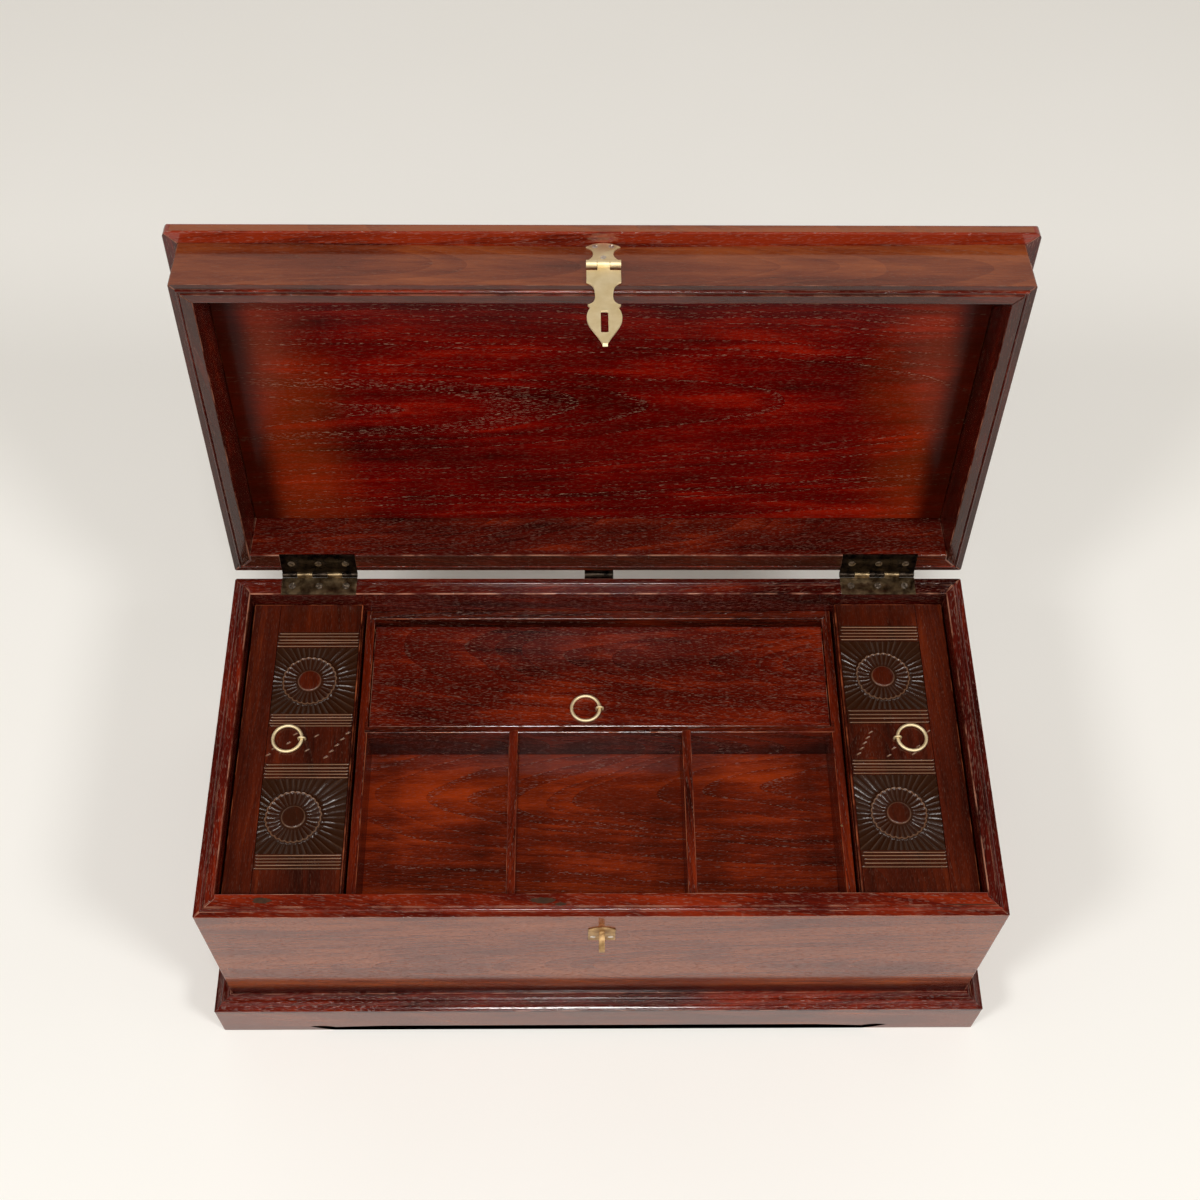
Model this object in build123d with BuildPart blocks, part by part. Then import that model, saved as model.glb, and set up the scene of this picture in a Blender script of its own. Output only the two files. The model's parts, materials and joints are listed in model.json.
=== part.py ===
"""Arabic dowry chest: a carcass on a bracket-foot plinth, a lid on butt hinges with a hasp,
two lift-out tills with loose carved lids and a divided tray between them. Millimetres, +Z up.

Every piece is drawn in one of two frames that share their sizes: `body`, fixed to the carcass,
and `lid`, the same frame turned about the hinge pins by the lid's opening angle. In both,
x = 0 is the middle, y = 0 is the middle of the carcass from front to back, and z = 0 is the rim
where lid and carcass meet. The row's own origin is on the floor, at the middle of the open chest.
"""

from math import cos, radians, sin, tan
import os

from build123d import *

# Carcass
chest_width = 760.0
chest_depth = 375.0
rim_height = 278.0
end_board = 18.0
front_board = 22.5
back_board = 20.5
boards_above_floor = 14.0

# Moulded rim, the same on carcass and lid, measured in from the outer face
rim_step_width = 5.5
rim_step_drop = 2.6
rim_bead_width = 2.8
rim_bead_sunk = 0.4
rim_quirk_width = 1.3

# Bottom board in its grooves
bottom_board = 12.0
bottom_above_floor = 20.0
bottom_tongue = 6.0
groove_clearance = 0.5

# Plinth with bracket feet, and the moulding on top of it
plinth_board = 17.5
plinth_height = 59.0
foot_length = 116.5
foot_notch_height = 10.0
foot_notch_slope = 2.0
bracket_lobe = 16.0
bracket_lobe_flat = 20.0
bracket_rise = 16.0
pendant_half_width = 46.0
pendant_notch_height = 6.5
pendant_flat = 16.0
pendant_shoulder = 14.0
apron_height = 13.5
lobe_clearance = 0.8
scroll_length = 24.0
scroll_height = 12.0
scroll_depth = 3.5
moulding_height = 9.0
moulding_fillet = 1.6
moulding_bead = 2.2
moulding_lip = 1.2
moulding_top_cove = 1.4
moulding_quirk = 0.9
moulding_low_cove = 0.7
foot_block = 70.0

# Lid frame, top board and its edging
open_angle = 98.0
rim_clearance = 0.1
lid_front_rail = 18.5
lid_side_rail = 19.0
lid_back_rail = 26.0
lid_rail_height = 60.5
lid_top_edge = 13.0
lid_field_drop = 8.3
lid_field_clearance = 0.5
edging_width = 12.5
edging_corner = 7.0
edging_top_round = 3.0
edging_bottom_round = 1.5

# Butt hinges
hinge_length = 78.0
hinge_from_end = 49.5
leaf_thickness = 2.0
leaf_clearance = 0.15
pin_behind_back = 3.6
knuckle_radius = 3.1
knuckle_count = 5
knuckle_gap = 0.3
hinge_pin_radius = 1.6
running_clearance = 0.08
hinge_screw_spacing = 28.0
hinge_screw_head = 3.6
hinge_screw_shank = 1.9
hinge_screw_length = 16.0

# Small screws of the hasp, staple and lid stop
small_screw_head = 2.6
small_screw_shank = 1.3
small_screw_length = 12.0
screw_clearance = 0.05
screw_sides = 10
screw_lip = 0.15

# Lid stop on the back of the carcass
stop_width = 30.0
stop_thickness = 3.0
stop_reach = 18.0
stop_drop = 42.0
stop_gap = 0.3
stop_bend_radius = 4.0
stop_screw_height = -16.0
stop_screw_spacing = 17.0

# Hasp on the lid, staple on the carcass
hasp_plate_thickness = 1.6
hasp_plate_top = 60.0
hasp_ear_height = 54.5
hasp_ear_half = 15.4
hasp_waist_height = 44.5
hasp_waist_half = 9.0
hasp_foot_height = 35.0
hasp_axis_height = 27.0
hasp_knuckle_radius = 3.75
hasp_knuckle_clear = 0.2
hasp_pin_radius = 1.8
hasp_middle_knuckle = 11.0
hasp_knuckle_gap = 0.3
strap_thickness = 2.2
strap_off_face = 1.8
strap_head_top = 19.0
strap_head_foot = 3.0
strap_half_width = 15.2
strap_waist_height = -12.0
strap_waist_half = 8.0
strap_flare_height = -27.8
strap_flare_half = 14.4
strap_step_height = -31.8
strap_step_half = 12.0
strap_leaf_height = -46.4
strap_leaf_half = 15.1
strap_bend_height = -78.0
strap_tip_height = -87.0
strap_tip_out = 6.0
strap_tip_half = 2.2
strap_tip_point = 1.0
strap_slot_width = 6.5
strap_slot_length = 28.0
strap_slot_height = -50.0
strap_slot_corner = 1.2
staple_plate_thickness = 1.2
staple_plate_width = 26.0
staple_plate_top = -28.7
staple_plate_foot = -60.0
staple_arch = 5.0
staple_strip_width = 5.5
staple_strip = 3.0
staple_top = -37.5
staple_foot = -62.5
staple_reach = 16.5
staple_screw_height = -51.5
staple_screw_spacing = 17.0
hasp_screw_height = 55.0
hasp_screw_spacing = 15.0
hasp_low_screw_height = 39.5

# Cleats, tills and tray
inset_gap = 2.5
back_front_gap = 2.0
tray_back_gap = 0.5
cleat_top = -89.5
cleat_width = 14.0
cleat_height = 16.0
till_width = 113.0
till_wall = 8.0
till_bottom = 8.0
till_lid_top = -17.0
till_lid = 10.0
till_rebate = 4.0
batten_width = 20.0
batten_height = 8.0
batten_spacing = 200.0
batten_clearance = 1.0
tray_rim = -32.5
tray_wall = 9.0
tray_back_wall = 10.0
tray_bottom = 8.0
tray_rebate = 4.5
cross_divider_front = 21.5
cross_divider_top = 7.0
cross_divider_thickness = 12.5
divider_spacing = 174.8
divider_thickness = 8.8
divider_housing = 3.0
tray_lid_thickness = 9.0
tray_lid_sunk = 4.0
tray_lid_front_gap = 2.0
tray_lid_back_gap = 5.0
tray_lid_side_gap = 0.7
tray_lid_pin_radius = 2.5
tray_lid_pin_inset = 5.0
tray_lid_pin_depth = 14.0
tray_lid_pin_clearance = 0.1

# Pull rings in their split eyes
ring_diameter = 32.0
ring_wire = 3.3
ring_float = 0.3
eye_wire = 2.2
eye_clearance = 0.35
eye_bend = 1.7
eye_tail = 5.0
eye_hole_clearance = 0.1
wire_sides = 8
ring_sides = 28
eye_arch_steps = 6
eye_bend_steps = 2
till_eye_inset = 6.0
till_eye_back = 6.0
tray_eye_back = 50.5

# Derived places
half_width = chest_width / 2
hinge_centre = half_width - hinge_from_end - hinge_length / 2
front = -chest_depth / 2
back = chest_depth / 2
pin_y = back + pin_behind_back
floor_z = -rim_height
inner_left = -half_width + end_board
inner_front = front + front_board
inner_back = back - back_board
plinth_half = half_width + plinth_board
plinth_front_y = front - plinth_board
lid_top_height = lid_rail_height + lid_top_edge
opened = radians(open_angle)

# The open chest reaches from the plinth's front to the rounded front edge of the opened lid.
edge_y = front - edging_width + edging_top_round - pin_y
edge_z = lid_top_height - edging_top_round
open_reach = pin_y + edge_y * cos(opened) + edge_z * sin(opened) + edging_top_round
middle_y = -(plinth_front_y + open_reach) / 2

body = Plane(origin=(0, middle_y, rim_height), x_dir=(1, 0, 0), z_dir=(0, 0, 1))
lid_up = Vector(0, sin(opened), cos(opened))
lid_back = Vector(0, cos(opened), -sin(opened))
pin_centre = Vector(0, middle_y + pin_y, rim_height)
lid = Plane(origin=pin_centre - lid_back * pin_y, x_dir=(1, 0, 0), z_dir=lid_up)


def place(base, x, y, z):
    """The point x, y, z of a frame."""
    return base.origin + base.x_dir * x + base.y_dir * y + base.z_dir * z


def plan(base, z):
    """Plan view plane of a frame at height z."""
    return Plane(origin=place(base, 0, 0, z), x_dir=base.x_dir, z_dir=base.z_dir)


def elevation(base, y):
    """Front view plane at depth y: local x to the right, local y up, extruded to the front."""
    return Plane(origin=place(base, 0, y, 0), x_dir=base.x_dir, z_dir=-base.y_dir)


def profile(base, x):
    """Side view plane at x: local x to the back, local y up, extruded to the right."""
    return Plane(origin=place(base, x, 0, 0), x_dir=base.y_dir, z_dir=base.x_dir)


def section(base, origin, inward):
    """Section plane of a board or moulding: local x along inward, local y up."""
    along = base.x_dir * inward[0] + base.y_dir * inward[1]
    return Plane(origin=place(base, *origin), x_dir=along, z_dir=along.cross(base.z_dir))


def save(piece, label):
    """Label a finished piece and write its STEP file."""
    piece.label = label
    export_step(piece, f"parts/{label}.step")


def block(x_low, x_high, y_low, y_high, height, base, z, mode=Mode.ADD):
    """A rectangular board or cut between plan limits, standing on height z."""
    with BuildPart() as board:
        with BuildSketch(plan(base, z)):
            with Locations(((x_low + x_high) / 2, (y_low + y_high) / 2)):
                Rectangle(x_high - x_low, y_high - y_low)
        extrude(amount=height)
    add(board.part, mode=mode)


def draw_rim_section(thickness, height, up):
    """Section of a rim board. up is 1 where the rim is the top edge and -1 where it is the bottom."""
    bead_radius = rim_bead_width / 2
    bead_level = rim_bead_sunk + bead_radius
    bead_end = rim_step_width + rim_bead_width
    quirk_end = bead_end + rim_quirk_width
    with BuildSketch() as outline:
        with BuildLine():
            Polyline(
                (bead_end, -up * bead_level),
                (quirk_end, -up * bead_level),
                (quirk_end, 0),
                (thickness, 0),
                (thickness, -up * height),
                (0, -up * height),
                (0, -up * rim_step_drop),
                (rim_step_width, -up * rim_step_drop),
                (rim_step_width, -up * bead_level),
            )
            ThreePointArc(
                (rim_step_width, -up * bead_level),
                (rim_step_width + bead_radius, -up * rim_bead_sunk),
                (bead_end, -up * bead_level),
            )
        make_face()
    add(outline.sketch)


def long_plan(side_y, toward, thickness, side_board, reach=half_width):
    """Plan of a front or back board: mitred to the thinner board's depth, then shouldered."""
    mitre = min(thickness, side_board)
    corners = [(-reach, side_y), (reach, side_y), (reach - mitre, side_y + toward * mitre)]
    if thickness > mitre:
        corners.append((reach - side_board, side_y + toward * thickness))
        corners.append((-reach + side_board, side_y + toward * thickness))
    corners.append((-reach + mitre, side_y + toward * mitre))
    return corners


def side_plan(sign, thickness, front_thickness, back_thickness):
    """Plan of an end board, between the front and back boards that it is mitred to."""
    front_mitre = min(thickness, front_thickness)
    back_mitre = min(thickness, back_thickness)
    corners = [(sign * half_width, front), (sign * half_width, back)]
    corners.append((sign * (half_width - back_mitre), back - back_mitre))
    if thickness > back_mitre:
        corners.append((sign * (half_width - thickness), back - back_thickness))
    if thickness > front_mitre:
        corners.append((sign * (half_width - thickness), front + front_thickness))
    corners.append((sign * (half_width - front_mitre), front + front_mitre))
    return corners


def cut_to_plan(base, corners, z_low, z_high):
    """Keep only what stands inside a plan outline."""
    with BuildPart() as prism:
        with BuildSketch(plan(base, z_low)):
            Polygon(*corners, align=None)
        extrude(amount=z_high - z_low)
    add(prism.part, mode=Mode.INTERSECT)


def turned(plane, angle):
    """A plane turned about its own normal."""
    x_dir = plane.x_dir * cos(radians(angle)) + plane.y_dir * sin(radians(angle))
    return Plane(origin=plane.origin, x_dir=x_dir, z_dir=plane.z_dir)


def make_screw(head, shank, length, growth=0.0):
    """A countersunk slotted screw below z = 0, or with growth the room that it needs."""
    flat_share = cos(radians(180 / screw_sides))
    cone = screw_lip + (head - shank) * flat_share
    with BuildPart() as screw:
        with BuildSketch(Plane.XY):
            RegularPolygon(head + growth, screw_sides)
        extrude(amount=-cone)
        chamfer(screw.faces().sort_by(Axis.Z)[0].edges(), cone - screw_lip)
        with BuildSketch(Plane.XY.offset(-cone)):
            RegularPolygon(shank + growth, screw_sides)
        extrude(amount=-(length - cone + growth))
        if growth == 0:
            with BuildSketch(Plane.XY):
                Rectangle(3 * head, head * 0.28)
            extrude(amount=-head * 0.25, mode=Mode.SUBTRACT)
    return screw.part


hinge_screw = make_screw(hinge_screw_head, hinge_screw_shank, hinge_screw_length)
hinge_screw_room = make_screw(
    hinge_screw_head, hinge_screw_shank, hinge_screw_length, screw_clearance
)
small_screw = make_screw(small_screw_head, small_screw_shank, small_screw_length)
small_screw_room = make_screw(
    small_screw_head, small_screw_shank, small_screw_length, screw_clearance
)


def hinge_screw_planes(base, side, leaf_width, up):
    """Where the three screws of one hinge leaf sit, each head facing out of the leaf."""
    planes = []
    for index in range(3):
        x = side * hinge_centre + (index - 1) * hinge_screw_spacing
        seat = place(base, x, back - leaf_width / 2, -up * leaf_clearance)
        seat_plane = Plane(origin=seat, x_dir=base.x_dir, z_dir=base.z_dir * up)
        planes.append(turned(seat_plane, (1 - index) * 40 * side))
    return planes


body_screw_planes = []
lid_screw_planes = []
for hinge_side in (-1, 1):
    body_screw_planes += hinge_screw_planes(body, hinge_side, back_board, 1)
    lid_screw_planes += hinge_screw_planes(lid, hinge_side, lid_back_rail, -1)

stop_screw_planes = []
for index in range(2):
    stop_seat = place(
        body, 0, back + stop_thickness, stop_screw_height - index * stop_screw_spacing
    )
    stop_screw_planes.append(Plane(origin=stop_seat, x_dir=(1, 0, 0), z_dir=(0, 1, 0)))

staple_screw_planes = []
for staple_side in (-1, 1):
    staple_seat = place(
        body,
        staple_side * staple_screw_spacing / 2,
        front - staple_plate_thickness,
        staple_screw_height,
    )
    staple_screw_planes.append(Plane(origin=staple_seat, x_dir=(1, 0, 0), z_dir=(0, -1, 0)))

hasp_screw_planes = []
for hasp_x, hasp_z in (
    (-hasp_screw_spacing / 2, hasp_screw_height),
    (hasp_screw_spacing / 2, hasp_screw_height),
    (0, hasp_low_screw_height),
):
    hasp_seat = place(lid, hasp_x, front - hasp_plate_thickness, hasp_z)
    hasp_screw_planes.append(Plane(origin=hasp_seat, x_dir=(1, 0, 0), z_dir=-lid.y_dir))


def cut_leaf_seats(base, leaf_width, up):
    """Recesses for both hinge leaves in the back rim."""
    depth = leaf_thickness + leaf_clearance
    for side in (-1, 1):
        middle = side * hinge_centre
        low = -depth if up > 0 else 0
        block(
            middle - hinge_length / 2,
            middle + hinge_length / 2,
            back - leaf_width,
            back + rim_step_width,
            depth,
            base,
            low,
            Mode.SUBTRACT,
        )


os.makedirs("parts", exist_ok=True)

# ------------------------------------------------------------------ carcass
board_height = rim_height - boards_above_floor
bottom_z = floor_z + bottom_above_floor


def cut_bottom_groove():
    """The groove that the bottom board's edge lies in, cut from one carcass board."""
    reach = bottom_tongue + groove_clearance
    block(
        inner_left - reach,
        -inner_left + reach,
        inner_front - reach,
        inner_back + reach,
        bottom_board,
        body,
        bottom_z,
        Mode.SUBTRACT,
    )


with BuildPart() as front_piece:
    with BuildSketch(section(body, (0, front, 0), (0, 1))):
        draw_rim_section(front_board, board_height, 1)
    extrude(amount=half_width, both=True)
    cut_to_plan(body, long_plan(front, 1, front_board, end_board), -rim_height, 1)
    cut_bottom_groove()
    with Locations(*staple_screw_planes):
        add(small_screw_room, mode=Mode.SUBTRACT)
save(front_piece.part, "board_front")

with BuildPart() as back_piece:
    with BuildSketch(section(body, (0, back, 0), (0, -1))):
        draw_rim_section(back_board, board_height, 1)
    extrude(amount=half_width, both=True)
    cut_to_plan(body, long_plan(back, -1, back_board, end_board), -rim_height, 1)
    cut_bottom_groove()
    cut_leaf_seats(body, back_board, 1)
    with Locations(*body_screw_planes):
        add(hinge_screw_room, mode=Mode.SUBTRACT)
    with Locations(*stop_screw_planes):
        add(small_screw_room, mode=Mode.SUBTRACT)
save(back_piece.part, "board_back")

for side_name, sign in (("left", -1), ("right", 1)):
    with BuildPart() as end_piece:
        with BuildSketch(section(body, (sign * half_width, 0, 0), (-sign, 0))):
            draw_rim_section(end_board, board_height, 1)
        extrude(amount=chest_depth / 2, both=True)
        cut_to_plan(body, side_plan(sign, end_board, front_board, back_board), -rim_height, 1)
        cut_bottom_groove()
    save(end_piece.part, f"board_{side_name}")

with BuildPart() as bottom_piece:
    block(
        inner_left - bottom_tongue,
        -inner_left + bottom_tongue,
        inner_front - bottom_tongue,
        inner_back + bottom_tongue,
        bottom_board,
        body,
        bottom_z,
    )
save(bottom_piece.part, "bottom_board")

with BuildPart() as cleats:
    for cleat_low in (inner_front, inner_back - cleat_width):
        block(
            inner_left,
            -inner_left,
            cleat_low,
            cleat_low + cleat_width,
            cleat_height,
            body,
            cleat_top - cleat_height,
        )
save(cleats.part, "tray_cleats")

# ------------------------------------------------------------------ plinth
plinth_base = Plane(origin=place(body, 0, 0, floor_z), x_dir=(1, 0, 0), z_dir=(0, 0, 1))
bracket_end = foot_length + foot_notch_slope + bracket_lobe + bracket_lobe_flat + bracket_rise


def draw_bracket(corner, sense):
    """Lower edge of one bracket foot, from its corner inward; sense gives the direction."""
    notch = foot_length + foot_notch_slope
    flat_start = notch + bracket_lobe
    flat_end = flat_start + bracket_lobe_flat
    Line((corner, 0), (corner + sense * foot_length, 0))
    Line(
        (corner + sense * foot_length, 0),
        (corner + sense * notch, foot_notch_height),
    )
    ThreePointArc(
        (corner + sense * notch, foot_notch_height),
        (corner + sense * (notch + 0.45 * bracket_lobe), 0.4 * foot_notch_height),
        (corner + sense * flat_start, lobe_clearance),
    )
    Line(
        (corner + sense * flat_start, lobe_clearance),
        (corner + sense * flat_end, lobe_clearance),
    )
    ThreePointArc(
        (corner + sense * flat_end, lobe_clearance),
        (corner + sense * (flat_end + 0.58 * bracket_rise), 0.4 * apron_height),
        (corner + sense * bracket_end, apron_height),
    )


def plinth_mitre(corners):
    """Cut a plinth or moulding piece to its mitred plan."""
    cut_to_plan(plinth_base, corners, 0, plinth_height + moulding_height)


front_mitres = [
    (-plinth_half, plinth_front_y),
    (plinth_half, plinth_front_y),
    (half_width, front),
    (-half_width, front),
]

with BuildPart() as plinth_front:
    with BuildSketch(elevation(plinth_base, front)):
        with BuildLine():
            Line((0, plinth_height), (-plinth_half, plinth_height))
            Line((-plinth_half, plinth_height), (-plinth_half, 0))
            draw_bracket(-plinth_half, 1)
            Line((-plinth_half + bracket_end, apron_height), (-pendant_half_width, apron_height))
            pendant_low = -pendant_half_width + pendant_shoulder
            ThreePointArc(
                (-pendant_half_width, apron_height),
                (-pendant_half_width + 0.45 * pendant_shoulder, 0.38 * apron_height),
                (pendant_low, lobe_clearance),
            )
            Line((pendant_low, lobe_clearance), (pendant_low + pendant_flat, lobe_clearance))
            Spline(
                (pendant_low + pendant_flat, lobe_clearance),
                (0.45 * (pendant_low + pendant_flat), 0.55 * pendant_notch_height),
                (0, pendant_notch_height),
                tangents=((1, 0), (1, 0)),
            )
            Line((0, pendant_notch_height), (0, plinth_height))
        make_face()
        mirror(about=Plane.YZ)
    extrude(amount=plinth_board)
    plinth_mitre(front_mitres)
    # carved hollow in the face beside each foot's notch
    for sign in (-1, 1):
        with BuildSketch(elevation(plinth_base, plinth_front_y)):
            tip = sign * (plinth_half - foot_length + scroll_length)
            mouth = sign * (plinth_half - foot_length - foot_notch_slope)
            with BuildLine():
                ThreePointArc(
                    (tip, scroll_height),
                    ((tip + mouth) / 2, scroll_height * 1.15),
                    (mouth, foot_notch_height),
                )
                Line((mouth, foot_notch_height), (mouth, 0))
                ThreePointArc(
                    (mouth, 0),
                    ((tip + mouth) / 2, scroll_height * 0.4),
                    (tip, scroll_height),
                )
            make_face()
        extrude(amount=-scroll_depth, taper=30, mode=Mode.SUBTRACT)
save(plinth_front.part, "plinth_front")

for side_name, sign in (("left", -1), ("right", 1)):
    with BuildPart() as plinth_side:
        with BuildSketch(profile(plinth_base, sign * half_width)):
            with BuildLine():
                draw_bracket(plinth_front_y, 1)
                Line((plinth_front_y + bracket_end, apron_height), (back - bracket_end, apron_height))
                draw_bracket(back, -1)
                Polyline(
                    (back, 0),
                    (back, plinth_height),
                    (plinth_front_y, plinth_height),
                    (plinth_front_y, 0),
                )
            make_face()
        extrude(amount=sign * plinth_board)
        plinth_mitre(
            [
                (sign * half_width, front),
                (sign * half_width, back),
                (sign * plinth_half, back),
                (sign * plinth_half, plinth_front_y),
            ]
        )
    save(plinth_side.part, f"plinth_{side_name}")


def draw_moulding():
    """Moulding on the plinth: fillet, cove, bead, cove and lip, outward from the wall."""
    foot = plinth_height
    top = plinth_height + moulding_height
    bead_level = foot + moulding_height * 0.5
    bead_start = plinth_board * 0.38
    bead_end = bead_start + 2 * moulding_bead
    with BuildSketch() as outline:
        with BuildLine():
            Polyline(
                (-plinth_board, foot + moulding_lip),
                (-plinth_board, foot),
                (0, foot),
                (0, top),
                (-moulding_fillet, top),
            )
            ThreePointArc(
                (-moulding_fillet, top),
                (-moulding_fillet - 0.28 * (bead_start - moulding_fillet), bead_level + moulding_top_cove),
                (-bead_start, bead_level),
            )
            ThreePointArc(
                (-bead_start, bead_level),
                (-bead_start - moulding_bead, bead_level + 0.62 * moulding_bead),
                (-bead_end, bead_level - moulding_quirk),
            )
            ThreePointArc(
                (-bead_end, bead_level - moulding_quirk),
                (-bead_end - 0.42 * (plinth_board - bead_end), foot + moulding_lip + moulding_low_cove),
                (-plinth_board, foot + moulding_lip),
            )
        make_face()
    add(outline.sketch)


with BuildPart() as moulding_front:
    with BuildSketch(section(plinth_base, (0, front, 0), (0, 1))):
        draw_moulding()
    extrude(amount=plinth_half, both=True)
    plinth_mitre(front_mitres)
save(moulding_front.part, "base_moulding_front")

for side_name, sign in (("left", -1), ("right", 1)):
    with BuildPart() as moulding_side:
        with BuildSketch(section(plinth_base, (sign * half_width, 0, 0), (-sign, 0))):
            draw_moulding()
        extrude(amount=chest_depth / 2 + plinth_board, both=True)
        plinth_mitre(
            [
                (sign * half_width, front),
                (sign * half_width, back),
                (sign * plinth_half, back),
                (sign * plinth_half, plinth_front_y),
            ]
        )
    save(moulding_side.part, f"base_moulding_{side_name}")

with BuildPart() as foot_blocks:
    for x_low in (-half_width, half_width - foot_block):
        for y_low in (front, back - foot_block):
            block(
                x_low,
                x_low + foot_block,
                y_low,
                y_low + foot_block,
                boards_above_floor,
                plinth_base,
                0,
            )
save(foot_blocks.part, "foot_blocks")

# ------------------------------------------------------------------ lid stop
stop_face = pin_behind_back - stop_gap
with BuildPart() as lid_stop:
    with BuildSketch(profile(body, -stop_width / 2)):
        # The bent leg lies parallel to the opened lid's back face, just below it.
        slope_run = Vector(sin(opened), cos(opened))
        slope_up = Vector(-cos(opened), sin(opened))
        level_point = Vector(pin_y, 0) + slope_up * stop_face
        heel_top = level_point + slope_run * ((back - level_point.X) / slope_run.X)
        toe_top = heel_top + slope_run * (stop_reach / slope_run.X)
        toe_low = toe_top - slope_up * stop_thickness
        leg_back = back + stop_thickness
        crook = toe_low + slope_run * ((leg_back - toe_low.X) / slope_run.X)
        Polygon(
            (back, heel_top.Y),
            (toe_top.X, toe_top.Y),
            (toe_low.X, toe_low.Y),
            (crook.X, crook.Y),
            (leg_back, -stop_drop),
            (back, -stop_drop),
            align=None,
        )
    extrude(amount=stop_width)
    heel_edge = lid_stop.edges().filter_by(Axis.X).sort_by(Axis.Z)[-1]
    fillet(heel_edge, stop_bend_radius)
    crook_edge = lid_stop.edges().filter_by(Axis.X).filter_by_position(
        Axis.Y, middle_y + leg_back - 0.01, middle_y + leg_back + 0.01
    ).sort_by(Axis.Z)[-1]
    fillet(crook_edge, stop_bend_radius - stop_thickness)
    with Locations(*stop_screw_planes):
        add(small_screw_room, mode=Mode.SUBTRACT)
save(lid_stop.part, "lid_stop")

with BuildPart() as stop_screws:
    with Locations(*stop_screw_planes):
        add(small_screw)
save(stop_screws.part, "lid_stop_screws")

# ------------------------------------------------------------------ hinges
knuckle_pitch = (hinge_length + knuckle_gap) / knuckle_count


def knuckle_range(side, index):
    """Start and end in x of one knuckle."""
    start = side * hinge_centre - hinge_length / 2 + index * knuckle_pitch
    return start, start + knuckle_pitch - knuckle_gap


def make_leaf(base, side, leaf_width, up, first, bore):
    """One hinge leaf with its knuckles, drawn closed in its own frame."""
    low = -leaf_clearance - leaf_thickness if up > 0 else leaf_clearance
    middle = side * hinge_centre
    with BuildPart() as leaf:
        block(
            middle - hinge_length / 2,
            middle + hinge_length / 2,
            back - leaf_width,
            back,
            leaf_thickness,
            base,
            low,
        )
        for index in range(first, knuckle_count, 2):
            start, end = knuckle_range(side, index)
            block(start, end, back - leaf_thickness, pin_y, leaf_thickness, base, low)
            with BuildSketch(profile(base, start)):
                with Locations((pin_y, 0)):
                    Circle(knuckle_radius)
            extrude(amount=end - start)
        with BuildSketch(profile(base, middle - hinge_length / 2)):
            with Locations((pin_y, 0)):
                Circle(bore)
        extrude(amount=hinge_length, mode=Mode.SUBTRACT)
        with Locations(*hinge_screw_planes(base, side, leaf_width, up)):
            add(hinge_screw_room, mode=Mode.SUBTRACT)
    return leaf.part


for side_name, sign in (("left", -1), ("right", 1)):
    body_leaf = make_leaf(body, sign, back_board, 1, 1, hinge_pin_radius)
    save(body_leaf, f"hinge_{side_name}_body_leaf")
    lid_bore = hinge_pin_radius + running_clearance
    lid_leaf = make_leaf(lid, sign, lid_back_rail, -1, 0, lid_bore)
    save(lid_leaf, f"hinge_{side_name}_lid_leaf")

with BuildPart() as hinge_pins:
    for sign in (-1, 1):
        with BuildSketch(profile(body, sign * hinge_centre - hinge_length / 2)):
            with Locations((pin_y, 0)):
                Circle(hinge_pin_radius)
        extrude(amount=hinge_length)
save(hinge_pins.part, "hinge_pins")

with BuildPart() as hinge_body_screws:
    with Locations(*body_screw_planes):
        add(hinge_screw)
save(hinge_body_screws.part, "hinge_body_screws")

with BuildPart() as hinge_lid_screws:
    with Locations(*lid_screw_planes):
        add(hinge_screw)
save(hinge_lid_screws.part, "hinge_lid_screws")

# ------------------------------------------------------------------ lid frame
with BuildPart() as rail_front:
    with BuildSketch(section(lid, (0, front, rim_clearance), (0, 1))):
        draw_rim_section(lid_front_rail, lid_rail_height - rim_clearance, -1)
    extrude(amount=half_width, both=True)
    rail_plan = long_plan(front, 1, lid_front_rail, lid_side_rail)
    cut_to_plan(lid, rail_plan, -1, lid_rail_height)
    with Locations(*hasp_screw_planes):
        add(small_screw_room, mode=Mode.SUBTRACT)
save(rail_front.part, "lid_rail_front")

with BuildPart() as rail_back:
    with BuildSketch(section(lid, (0, back, rim_clearance), (0, -1))):
        draw_rim_section(lid_back_rail, lid_rail_height - rim_clearance, -1)
    extrude(amount=half_width, both=True)
    rail_plan = long_plan(back, -1, lid_back_rail, lid_side_rail)
    cut_to_plan(lid, rail_plan, -1, lid_rail_height)
    cut_leaf_seats(lid, lid_back_rail, -1)
    with Locations(*lid_screw_planes):
        add(hinge_screw_room, mode=Mode.SUBTRACT)
save(rail_back.part, "lid_rail_back")

for side_name, sign in (("left", -1), ("right", 1)):
    with BuildPart() as rail_side:
        with BuildSketch(section(lid, (sign * half_width, 0, rim_clearance), (-sign, 0))):
            draw_rim_section(lid_side_rail, lid_rail_height - rim_clearance, -1)
        extrude(amount=chest_depth / 2, both=True)
        rail_plan = side_plan(sign, lid_side_rail, lid_front_rail, lid_back_rail)
        cut_to_plan(lid, rail_plan, -1, lid_rail_height)
    save(rail_side.part, f"lid_rail_{side_name}")

with BuildPart() as top_board:
    block(-half_width, half_width, front, back, lid_top_edge, lid, lid_rail_height)
    field_half = half_width - lid_side_rail - lid_field_clearance
    block(
        -field_half,
        field_half,
        front + lid_front_rail + lid_field_clearance,
        back - lid_back_rail - lid_field_clearance,
        lid_field_drop,
        lid,
        lid_rail_height - lid_field_drop,
    )
save(top_board.part, "lid_top")

edging_half = half_width + edging_width
edging_front_y = front - edging_width


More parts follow.
